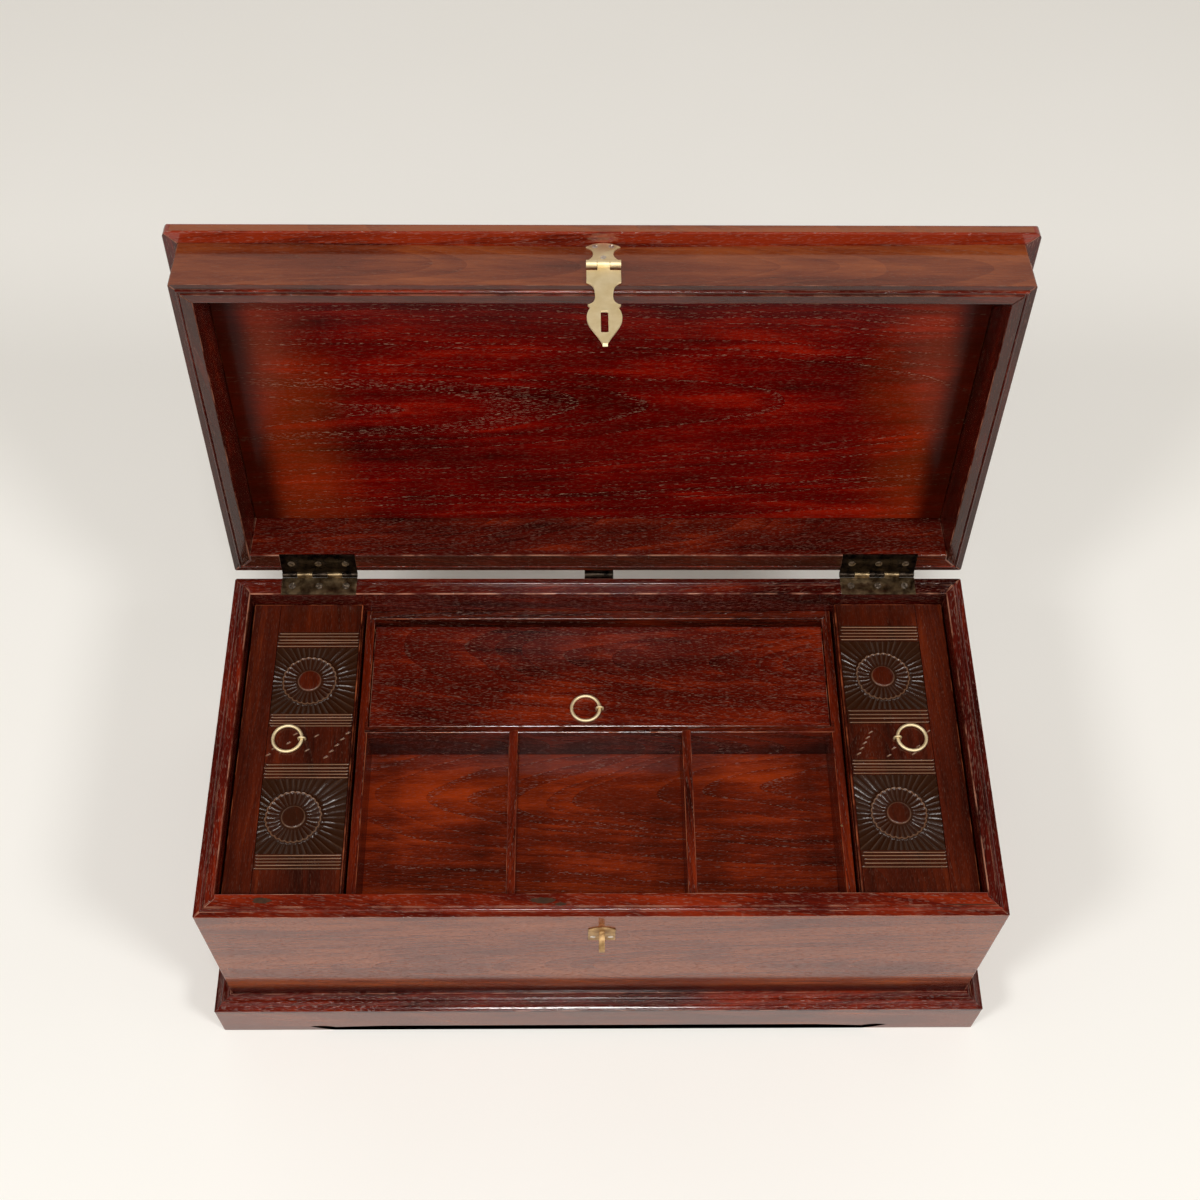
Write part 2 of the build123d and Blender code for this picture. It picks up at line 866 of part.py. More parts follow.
def draw_edging():
    """Section of the edging, outward from the top board's edge, with both arrises rounded."""
    with BuildSketch() as outline:
        with BuildLine():
            low = lid_rail_height
            high = lid_top_height
            outer = -edging_width
            Polyline(
                (outer + edging_bottom_round, low),
                (0, low),
                (0, high),
                (outer + edging_top_round, high),
            )
            RadiusArc(
                (outer + edging_top_round, high),
                (outer, high - edging_top_round),
                -edging_top_round,
            )
            Line((outer, high - edging_top_round), (outer, low + edging_bottom_round))
            RadiusArc(
                (outer, low + edging_bottom_round),
                (outer + edging_bottom_round, low),
                -edging_bottom_round,
            )
        make_face()
    add(outline.sketch)


def round_edging_corners():
    """Round the two front corners of the lid's outline."""
    with BuildPart() as prism:
        with BuildSketch(plan(lid, lid_rail_height)):
            with Locations((0, (edging_front_y + back) / 2)):
                Rectangle(2 * edging_half, back - edging_front_y)
        extrude(amount=lid_top_edge)
        front_corners = prism.edges().filter_by(Axis(lid.origin, lid.z_dir)).group_by(Axis.Z)[-1]
        fillet(front_corners, edging_corner)
    add(prism.part, mode=Mode.INTERSECT)


with BuildPart() as edging_front:
    with BuildSketch(section(lid, (0, front, 0), (0, 1))):
        draw_edging()
    extrude(amount=edging_half, both=True)
    cut_to_plan(
        lid,
        [
            (-edging_half, edging_front_y),
            (edging_half, edging_front_y),
            (half_width, front),
            (-half_width, front),
        ],
        lid_rail_height,
        lid_top_height,
    )
    round_edging_corners()
save(edging_front.part, "lid_edging_front")

for side_name, sign in (("left", -1), ("right", 1)):
    with BuildPart() as edging_side:
        with BuildSketch(section(lid, (sign * half_width, 0, 0), (-sign, 0))):
            draw_edging()
        extrude(amount=chest_depth / 2 + edging_width, both=True)
        cut_to_plan(
            lid,
            [
                (sign * half_width, front),
                (sign * half_width, back),
                (sign * edging_half, back),
                (sign * edging_half, edging_front_y),
            ],
            lid_rail_height,
            lid_top_height,
        )
        round_edging_corners()
    save(edging_side.part, f"lid_edging_{side_name}")

# ------------------------------------------------------------------ hasp
hasp_axis_y = front - hasp_knuckle_radius - hasp_knuckle_clear
middle_half = hasp_middle_knuckle / 2
outer_start = middle_half + hasp_knuckle_gap

with BuildPart() as hasp_plate:
    with BuildSketch(elevation(lid, front)):
        with BuildLine():
            ThreePointArc(
                (-hasp_ear_half, hasp_ear_height),
                (0, hasp_plate_top),
                (hasp_ear_half, hasp_ear_height),
            )
            ThreePointArc(
                (hasp_ear_half, hasp_ear_height),
                (hasp_waist_half, hasp_waist_height),
                (hasp_ear_half, hasp_foot_height),
            )
            Line((hasp_ear_half, hasp_foot_height), (-hasp_ear_half, hasp_foot_height))
            ThreePointArc(
                (-hasp_ear_half, hasp_foot_height),
                (-hasp_waist_half, hasp_waist_height),
                (-hasp_ear_half, hasp_ear_height),
            )
        make_face()
        for sign in (-1, 1):
            with Locations(
                (sign * (outer_start + hasp_ear_half) / 2, (hasp_axis_height + hasp_foot_height) / 2)
            ):
                Rectangle(hasp_ear_half - outer_start, hasp_foot_height - hasp_axis_height)
    extrude(amount=hasp_plate_thickness)
    for start in (-hasp_ear_half, outer_start):
        with BuildSketch(profile(lid, start)):
            with Locations((hasp_axis_y, hasp_axis_height)):
                Circle(hasp_knuckle_radius)
        extrude(amount=hasp_ear_half - outer_start)
    with BuildSketch(profile(lid, -hasp_ear_half)):
        with Locations((hasp_axis_y, hasp_axis_height)):
            Circle(hasp_pin_radius)
    extrude(amount=2 * hasp_ear_half, mode=Mode.SUBTRACT)
    with Locations(*hasp_screw_planes):
        add(small_screw_room, mode=Mode.SUBTRACT)
save(hasp_plate.part, "hasp_plate")

with BuildPart() as hasp_pin:
    with BuildSketch(profile(lid, -hasp_ear_half)):
        with Locations((hasp_axis_y, hasp_axis_height)):
            Circle(hasp_pin_radius)
    extrude(amount=2 * hasp_ear_half)
save(hasp_pin.part, "hasp_pin")

with BuildPart() as hasp_screws:
    with Locations(*hasp_screw_planes):
        add(small_screw)
save(hasp_screws.part, "hasp_screws")

with BuildPart() as hasp_strap:
    with BuildSketch(profile(lid, 0)):
        strap_back = front - strap_off_face
        strap_out = strap_back - strap_thickness
        bend_low = strap_bend_height - 0.35 * strap_thickness
        Polygon(
            (strap_back, strap_head_top),
            (strap_out, strap_head_top),
            (strap_out, strap_bend_height),
            (strap_out - strap_tip_out, strap_tip_height + 0.8 * strap_thickness),
            (strap_back - strap_tip_out, strap_tip_height),
            (strap_back, bend_low),
            align=None,
        )
    extrude(amount=strap_half_width, both=True)
    with BuildSketch(elevation(lid, front)):
        with BuildLine():
            Line((0, strap_head_top), (strap_half_width, strap_head_top))
            Line((strap_half_width, strap_head_top), (strap_half_width, strap_head_foot))
            Spline(
                (strap_half_width, strap_head_foot),
                (strap_waist_half, strap_waist_height),
                (strap_flare_half, strap_flare_height),
                tangents=((-1, -0.5), (1, -0.35)),
            )
            Line((strap_flare_half, strap_flare_height), (strap_step_half, strap_step_height))
            Spline(
                (strap_step_half, strap_step_height),
                (strap_leaf_half, strap_leaf_height),
                (strap_tip_half, strap_bend_height),
                tangents=((0.6, -1), (-0.35, -1)),
            )
            Line((strap_tip_half, strap_bend_height), (strap_tip_half, strap_tip_height))
            Line((strap_tip_half, strap_tip_height), (0, strap_tip_height - strap_tip_point))
            Line((0, strap_tip_height - strap_tip_point), (0, strap_head_top))
        make_face()
        mirror(about=Plane.YZ)
    extrude(amount=strap_off_face + strap_thickness + strap_tip_out, mode=Mode.INTERSECT)
    with BuildSketch(elevation(lid, front)):
        with Locations((0, strap_slot_height)):
            RectangleRounded(strap_slot_width, strap_slot_length, strap_slot_corner)
    extrude(amount=strap_off_face + strap_thickness, mode=Mode.SUBTRACT)
    with BuildSketch(profile(lid, -middle_half)):
        with Locations((hasp_axis_y, hasp_axis_height)):
            Circle(hasp_knuckle_radius)
        neck_low = strap_head_top - strap_thickness / 2
        with Locations(((strap_back + strap_out) / 2, (hasp_axis_height + neck_low) / 2)):
            Rectangle(strap_thickness, hasp_axis_height - neck_low)
        with Locations((hasp_axis_y, hasp_axis_height)):
            Circle(hasp_pin_radius + running_clearance, mode=Mode.SUBTRACT)
    extrude(amount=hasp_middle_knuckle)
save(hasp_strap.part, "hasp_strap")

# ------------------------------------------------------------------ staple
staple_middle = (staple_top + staple_foot) / 2
staple_half = (staple_top - staple_foot) / 2

with BuildPart() as staple:
    with BuildSketch(elevation(body, front)):
        with BuildLine():
            half_plate = staple_plate_width / 2
            arch_start = staple_plate_top - staple_arch
            ThreePointArc((-half_plate, arch_start), (0, staple_plate_top), (half_plate, arch_start))
            Polyline(
                (half_plate, arch_start),
                (half_plate, staple_plate_foot),
                (-half_plate, staple_plate_foot),
                (-half_plate, arch_start),
            )
        make_face()
    extrude(amount=staple_plate_thickness)
    with BuildSketch(profile(body, -staple_strip_width / 2)):
        with BuildLine():
            outer_root = front - staple_plate_thickness
            bow = front - staple_reach + staple_half
            Polyline(
                (bow, staple_top),
                (front, staple_top),
                (front, staple_foot),
                (bow, staple_foot),
            )
            ThreePointArc(
                (bow, staple_foot),
                (front - staple_reach, staple_middle),
                (bow, staple_top),
            )
        make_face()
        with BuildLine():
            inner_half = staple_half - staple_strip
            Polyline(
                (bow, staple_middle + inner_half),
                (outer_root, staple_middle + inner_half),
                (outer_root, staple_middle - inner_half),
                (bow, staple_middle - inner_half),
            )
            ThreePointArc(
                (bow, staple_middle - inner_half),
                (front - staple_reach + staple_strip, staple_middle),
                (bow, staple_middle + inner_half),
            )
        make_face(mode=Mode.SUBTRACT)
    extrude(amount=staple_strip_width)
    with Locations(*staple_screw_planes):
        add(small_screw_room, mode=Mode.SUBTRACT)
save(staple.part, "staple")

with BuildPart() as staple_screws:
    with Locations(*staple_screw_planes):
        add(small_screw)
save(staple_screws.part, "staple_screws")

# ------------------------------------------------------------------ rings and eyes
ring_radius = (ring_diameter - ring_wire) / 2
eye_radius = ring_wire / 2 + eye_clearance + eye_wire / 2


def ring_height(lid_top):
    """Level of a ring's wire where it lies on its lid."""
    return lid_top + ring_float + ring_wire / 2


def make_ring(x, y, lid_top, lies):
    """A pull ring flat on its lid; lies is the side of the eye that it lies on. It is many-sided,
    of square wire whose corners are taken off to eight sides."""
    flat = ring_wire * tan(radians(180 / wire_sides))
    middle = place(body, x + lies * ring_radius, y, ring_height(lid_top))
    with BuildPart() as ring:
        with BuildSketch(Plane(origin=middle, x_dir=(1, 0, 0), z_dir=(0, 0, 1))):
            RegularPolygon(ring_diameter / 2, ring_sides)
            RegularPolygon(ring_diameter / 2 - ring_wire, ring_sides, mode=Mode.SUBTRACT)
        extrude(amount=ring_wire / 2, both=True)
        levels = ring.edges().group_by(Axis.Z)
        chamfer(levels[0] + levels[-1], (ring_wire - flat) / 2)
    return ring.part


def make_eye(x, y, lid_top, thickness):
    """A split eye over the ring's wire, its legs through the lid and clinched below."""
    level = ring_height(lid_top)
    under = lid_top - thickness
    clinch = eye_radius + eye_bend
    half = [(clinch + eye_tail, under - eye_bend)]
    for step in range(eye_bend_steps + 1):
        turn = radians(90 * step / eye_bend_steps)
        half.append((clinch - eye_bend * sin(turn), under - eye_bend * cos(turn)))
    for step in range(eye_arch_steps // 2):
        turn = radians(180 * step / eye_arch_steps)
        half.append((eye_radius * cos(turn), level + eye_radius * sin(turn)))
    route = [(x + across, up) for across, up in half]
    route.append((x, level + eye_radius))
    route += [(x - across, up) for across, up in reversed(half)]
    with BuildPart() as eye:
        with BuildLine(elevation(body, y)) as wire:
            Polyline(*route)
        with BuildSketch(Plane(origin=wire.line @ 0, z_dir=wire.line % 0)):
            RegularPolygon(eye_wire / 2, wire_sides)
        sweep(transition=Transition.RIGHT)
    return eye.part


def cut_eye_holes(x, y, lid_top, thickness):
    """The two holes in a lid for an eye's legs."""
    with BuildPart() as holes:
        with BuildSketch(plan(body, lid_top - thickness)):
            with Locations((x - eye_radius, y), (x + eye_radius, y)):
                RegularPolygon(eye_wire / 2 + eye_hole_clearance, screw_sides, major_radius=False)
        extrude(amount=thickness)
    add(holes.part, mode=Mode.SUBTRACT)


# ------------------------------------------------------------------ tills
till_front = inner_front + back_front_gap
till_back = inner_back - back_front_gap
till_outer = -inner_left - inset_gap
till_inner = till_outer - till_width
till_floor = cleat_top + till_bottom
till_rim = till_lid_top - till_lid
till_middle = (till_outer + till_inner) / 2
till_y_middle = (till_front + till_back) / 2
till_eye_x = till_middle - till_eye_inset

for side_name, sign in (("left", -1), ("right", 1)):
    wall_height = till_rim - till_floor
    x_low = min(sign * till_inner, sign * till_outer)
    x_high = max(sign * till_inner, sign * till_outer)

    with BuildPart() as till_sides:
        block(x_low, x_low + till_wall, till_front, till_back, wall_height, body, till_floor)
        block(x_high - till_wall, x_high, till_front, till_back, wall_height, body, till_floor)
        for y_low in (till_front, till_back - till_wall):
            # rebates that house the end boards
            block(
                x_low + till_wall - till_rebate,
                x_high - till_wall + till_rebate,
                y_low,
                y_low + till_wall,
                wall_height,
                body,
                till_floor,
                Mode.SUBTRACT,
            )
    save(till_sides.part, f"{side_name}_till_sides")

    with BuildPart() as till_ends:
        for y_low in (till_front, till_back - till_wall):
            block(
                x_low + till_wall - till_rebate,
                x_high - till_wall + till_rebate,
                y_low,
                y_low + till_wall,
                wall_height,
                body,
                till_floor,
            )
    save(till_ends.part, f"{side_name}_till_ends")

    with BuildPart() as till_base:
        block(x_low, x_high, till_front, till_back, till_bottom, body, cleat_top)
    save(till_base.part, f"{side_name}_till_bottom")

    eye_x = sign * till_eye_x
    eye_y = till_eye_back
    with BuildPart() as till_cover:
        block(x_low, x_high, till_front, till_back, till_lid, body, till_rim)
        cut_eye_holes(eye_x, eye_y, till_lid_top, till_lid)
    save(till_cover.part, f"{side_name}_till_lid")

    with BuildPart() as battens:
        for row in (-1, 1):
            row_y = till_y_middle + row * batten_spacing / 2
            block(
                x_low + till_wall + batten_clearance,
                x_high - till_wall - batten_clearance,
                row_y - batten_width / 2,
                row_y + batten_width / 2,
                batten_height,
                body,
                till_rim - batten_height,
            )
    save(battens.part, f"{side_name}_till_lid_battens")

    till_eye = make_eye(eye_x, eye_y, till_lid_top, till_lid)
    save(till_eye, f"{side_name}_ring_eye")
    till_ring = make_ring(eye_x, eye_y, till_lid_top, sign)
    save(till_ring, f"{side_name}_ring")

# ------------------------------------------------------------------ tray
tray_half = till_inner - inset_gap
tray_front_y = till_front
tray_back_y = inner_back - tray_back_gap
tray_floor = cleat_top + tray_bottom
tray_wall_height = tray_rim - tray_floor
tray_inner = tray_half - tray_wall
lap_half = tray_inner + tray_rebate

lid_level_top = tray_rim - tray_lid_sunk
lid_level_low = lid_level_top - tray_lid_thickness
cross_step_y = cross_divider_front + cross_divider_top
cross_back_y = cross_divider_front + cross_divider_thickness
tray_lid_front = cross_step_y + tray_lid_front_gap
tray_lid_back = tray_back_y - tray_back_wall - tray_lid_back_gap
tray_lid_half = tray_inner - tray_lid_side_gap
tray_pin_y = tray_lid_back - tray_lid_pin_inset
tray_pin_z = (lid_level_top + lid_level_low) / 2

with BuildPart() as tray_front:
    block(
        -lap_half,
        lap_half,
        tray_front_y,
        tray_front_y + tray_wall,
        tray_wall_height,
        body,
        tray_floor,
    )
    for sign in (-1, 1):
        divider_x = sign * divider_spacing / 2
        block(
            divider_x - divider_thickness / 2,
            divider_x + divider_thickness / 2,
            tray_front_y + tray_wall - divider_housing,
            tray_front_y + tray_wall,
            tray_wall_height,
            body,
            tray_floor,
            Mode.SUBTRACT,
        )
save(tray_front.part, "tray_front")

with BuildPart() as tray_back:
    block(
        -lap_half,
        lap_half,
        tray_back_y - tray_back_wall,
        tray_back_y,
        tray_wall_height,
        body,
        tray_floor,
    )
save(tray_back.part, "tray_back")

with BuildPart() as tray_sides:
    block(-tray_half, -tray_inner, tray_front_y, tray_back_y, tray_wall_height, body, tray_floor)
    block(tray_inner, tray_half, tray_front_y, tray_back_y, tray_wall_height, body, tray_floor)
    block(
        -lap_half,
        lap_half,
        tray_front_y,
        tray_front_y + tray_wall,
        tray_wall_height,
        body,
        tray_floor,
        Mode.SUBTRACT,
    )
    block(
        -lap_half,
        lap_half,
        tray_back_y - tray_back_wall,
        tray_back_y,
        tray_wall_height,
        body,
        tray_floor,
        Mode.SUBTRACT,
    )
    # housings for the cross divider, and holes for the lid's pins
    housing_half = tray_inner + divider_housing
    block(
        -housing_half,
        housing_half,
        cross_divider_front,
        cross_back_y,
        tray_wall_height,
        body,
        tray_floor,
        Mode.SUBTRACT,
    )
    with BuildSketch(profile(body, -tray_half)):
        with Locations((tray_pin_y, tray_pin_z)):
            Circle(tray_lid_pin_radius)
    extrude(amount=2 * tray_half, mode=Mode.SUBTRACT)
save(tray_sides.part, "tray_sides")

with BuildPart() as tray_base:
    block(-tray_half, tray_half, tray_front_y, tray_back_y, tray_bottom, body, cleat_top)
save(tray_base.part, "tray_bottom")

with BuildPart() as cross_divider:
    block(
        -housing_half,
        housing_half,
        cross_divider_front,
        cross_back_y,
        tray_wall_height,
        body,
        tray_floor,
    )
    # shoulder that the tray lid's front edge rests on
    block(
        -tray_inner,
        tray_inner,
        cross_step_y,
        cross_back_y,
        tray_rim - lid_level_low,
        body,
        lid_level_low,
        Mode.SUBTRACT,
    )
    for sign in (-1, 1):
        divider_x = sign * divider_spacing / 2
        block(
            divider_x - divider_thickness / 2,
            divider_x + divider_thickness / 2,
            cross_divider_front,
            cross_divider_front + divider_housing,
            tray_wall_height,
            body,
            tray_floor,
            Mode.SUBTRACT,
        )
save(cross_divider.part, "cross_divider")

with BuildPart() as dividers:
    for sign in (-1, 1):
        divider_x = sign * divider_spacing / 2
        block(
            divider_x - divider_thickness / 2,
            divider_x + divider_thickness / 2,
            tray_front_y + tray_wall - divider_housing,
            cross_divider_front + divider_housing,
            tray_wall_height,
            body,
            tray_floor,
        )
save(dividers.part, "tray_dividers")

with BuildPart() as tray_lid:
    block(
        -tray_lid_half,
        tray_lid_half,
        tray_lid_front,
        tray_lid_back,
        tray_lid_thickness,
        body,
        lid_level_low,
    )
    # back edge rounded, so that it turns inside the gap to the tray's back wall
    back_edges = tray_lid.edges().filter_by(Axis.X).group_by(Axis.Y)[-1]
    fillet(back_edges, 0.48 * tray_lid_thickness)
    for sign in (-1, 1):
        with BuildSketch(profile(body, sign * tray_lid_half)):
            with Locations((tray_pin_y, tray_pin_z)):
                Circle(tray_lid_pin_radius + tray_lid_pin_clearance)
        extrude(amount=-sign * (tray_lid_pin_depth + tray_lid_side_gap), mode=Mode.SUBTRACT)
    cut_eye_holes(0, tray_eye_back, lid_level_top, tray_lid_thickness)
save(tray_lid.part, "tray_lid")

with BuildPart() as tray_lid_pins:
    for sign in (-1, 1):
        with BuildSketch(profile(body, sign * tray_half)):
            with Locations((tray_pin_y, tray_pin_z)):
                Circle(tray_lid_pin_radius)
        extrude(amount=-sign * (tray_wall + tray_lid_pin_depth))
save(tray_lid_pins.part, "tray_lid_pins")

tray_eye = make_eye(0, tray_eye_back, lid_level_top, tray_lid_thickness)
save(tray_eye, "tray_ring_eye")
tray_ring = make_ring(0, tray_eye_back, lid_level_top, -1)
save(tray_ring, "tray_ring")
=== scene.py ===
import json
import random
from math import atan2, cos, floor, pi, radians, sin

import bmesh
import bpy
from bpy.props import FloatProperty, FloatVectorProperty, IntProperty, PointerProperty
from mathutils import Matrix, Vector


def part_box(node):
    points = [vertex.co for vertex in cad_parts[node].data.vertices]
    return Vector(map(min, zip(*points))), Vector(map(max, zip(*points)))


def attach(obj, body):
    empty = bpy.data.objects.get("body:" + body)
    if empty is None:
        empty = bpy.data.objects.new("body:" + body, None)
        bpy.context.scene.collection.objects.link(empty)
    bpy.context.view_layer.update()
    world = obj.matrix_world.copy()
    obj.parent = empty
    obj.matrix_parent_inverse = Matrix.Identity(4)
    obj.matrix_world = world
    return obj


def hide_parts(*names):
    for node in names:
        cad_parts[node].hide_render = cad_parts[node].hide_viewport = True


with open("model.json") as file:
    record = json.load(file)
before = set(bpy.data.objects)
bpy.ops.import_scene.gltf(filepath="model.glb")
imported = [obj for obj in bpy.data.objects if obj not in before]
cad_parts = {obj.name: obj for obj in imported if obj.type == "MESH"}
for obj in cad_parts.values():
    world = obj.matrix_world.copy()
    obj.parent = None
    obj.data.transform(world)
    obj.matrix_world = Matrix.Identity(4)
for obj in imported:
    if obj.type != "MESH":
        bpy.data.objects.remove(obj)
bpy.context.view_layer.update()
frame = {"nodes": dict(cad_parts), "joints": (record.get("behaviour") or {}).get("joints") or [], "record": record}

bl_info = {
    "name": "Arabic dowry chest",
    "version": (1, 0, 0),
    "blender": (4, 5, 0),
    "location": "3D View > Sidebar > Chest",
    "description": "Dresses the packed chest: lacquered boards, carved till lids, brass and steel fittings",
    "category": "Object",
}

# The carcass frame in the row: x = 0 the middle, y = 0 the middle of the carcass, z = 0 its rim.
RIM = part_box("board_front")[1].z
MIDDLE_Y = (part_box("board_front")[0].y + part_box("board_back")[1].y) / 2
HINGE = next(j for j in frame["joints"] if j["name"] == "lid_hinge")
PIN = Vector(HINGE["pos_m"])
OPEN_ANGLE = radians(HINGE["range_deg"][1] - HINGE["range_deg"][0])
CLOSE_LID = Matrix.Translation(PIN) @ Matrix.Rotation(OPEN_ANGLE, 4, "X") @ Matrix.Translation(-PIN)
TO_CARCASS = Matrix.Translation(Vector((0.0, -MIDDLE_Y, -RIM)))
FROM_CARCASS = TO_CARCASS.inverted()


def linear(colour):
    """Linear red, green, blue and alpha of an sRGB hex code; any other colour is linear already."""
    if not isinstance(colour, str):
        return tuple(colour)
    parts = [int(colour[i:i + 2], 16) / 255 for i in (1, 3, 5)]
    return tuple(c / 12.92 if c <= 0.04045 else ((c + 0.055) / 1.055) ** 2.4 for c in parts) + (1.0,)


# ---------------------------------------------------------------- sizes and colours
def length(name, description, default):
    """A size in metres."""
    return FloatProperty(name=name, description=description, default=default, unit="LENGTH")


def finish_colour(name, description, code):
    """A finish's colour, given as a hex code."""
    return FloatVectorProperty(name=name, description=description, default=linear(code), size=4,
                               subtype="COLOR")


class ChestSizes(bpy.types.PropertyGroup):
    """Sizes of the pieces and marks that the maker's hand gave the chest."""
    arris: length("Arris", "Softened edge of the boards", 0.0006)
    rim_arris: length("Rim arris", "Softened edge of the rims and the outer corners", 0.0011)
    ring_wire: length("Ring wire", "Thickness of a pull ring's wire", 0.0033)
    carving_depth: length("Carving depth", "Depth of the ground around a rosette", 0.0020)
    disc_radius: length("Disc", "Radius of the plain disc in a rosette", 0.0115)
    petal_radius: length("Petal radius", "Radius of the scalloped ring of petals", 0.0270)
    petals: IntProperty(name="Petals", description="Fluted petals in a rosette", default=28, min=8)
    rays: IntProperty(name="Rays", description="Gouge cuts from the petals to the border", default=42, min=8)
    groove: length("Groove", "Width of one cut of the ribbed bands", 0.0012)


class ChestColours(bpy.types.PropertyGroup):
    """Main colours of the finishes."""
    lacquer_dark: finish_colour("Dark lacquer", "Darkest wood under the red lacquer", "#260401")
    lacquer_red: finish_colour("Red lacquer", "Lightest wood under the red lacquer", "#84260c")
    brass: finish_colour("Brass", "Clean yellow brass", "#fbeac4")
    steel: finish_colour("Steel", "Blackened steel where it is lightest", "#40362d")


# ---------------------------------------------------------------- materials
def add_node(tree, kind, *in_order, inputs=(), output=0, stops=(), **settings):
    """Add one node with its settings and give one of its outputs. What goes in, in order or by name,
    is a number, a colour or another node's output; stops are a colour ramp's places and colours."""
    node = tree.nodes.new("ShaderNode" + kind)
    for name, value in settings.items():
        setattr(node, name, value)
    for socket, value in [*enumerate(in_order), *dict(inputs).items()]:
        if isinstance(value, bpy.types.NodeSocket):
            tree.links.new(value, node.inputs[socket])
        else:
            node.inputs[socket].default_value = linear(value) if isinstance(value, str) else value
    if stops:
        elements = node.color_ramp.elements
        for element, (place, colour) in zip(elements[:], (stops[0], stops[-1])):
            element.position = place
            element.color = linear(colour)
        for place, colour in stops[1:-1]:
            elements.new(place).color = linear(colour)
    return node.outputs[output]


def new_material(name, uniform):
    """A material with its principled shader, whose uniform values stay on the shader's own sockets."""
    material = bpy.data.materials.new(name)
    material.use_nodes = True
    shader = material.node_tree.nodes["Principled BSDF"]
    for socket, value in uniform.items():
        shader.inputs[socket].default_value = value
    return material, material.node_tree, shader


def lacquer(weight, roughness):
    """Uniform values of wood with no shine of its own under a coat of lacquer."""
    return {"Roughness": 0.5, "IOR": 1.5, "Specular IOR Level": 0.0, "Coat Weight": weight,
            "Coat Roughness": roughness, "Coat IOR": 1.5}


def base_colour(material):
    """The node tree, the shader's colour socket and what feeds it."""
    tree = material.node_tree
    socket = tree.nodes["Principled BSDF"].inputs["Base Color"]
    return tree, socket, socket.links[0].from_socket


def streaks(tree, space, scale, detail=2.0, distortion=0.0):
    """Fibres, dashes or bands; scale is how many lie in a metre along x, y and z."""
    stretched = add_node(tree, "VectorMath", space, scale, operation="MULTIPLY")
    return add_node(tree, "TexNoise", inputs={"Vector": stretched, "Scale": 1.0, "Detail": detail,
                                              "Distortion": distortion})


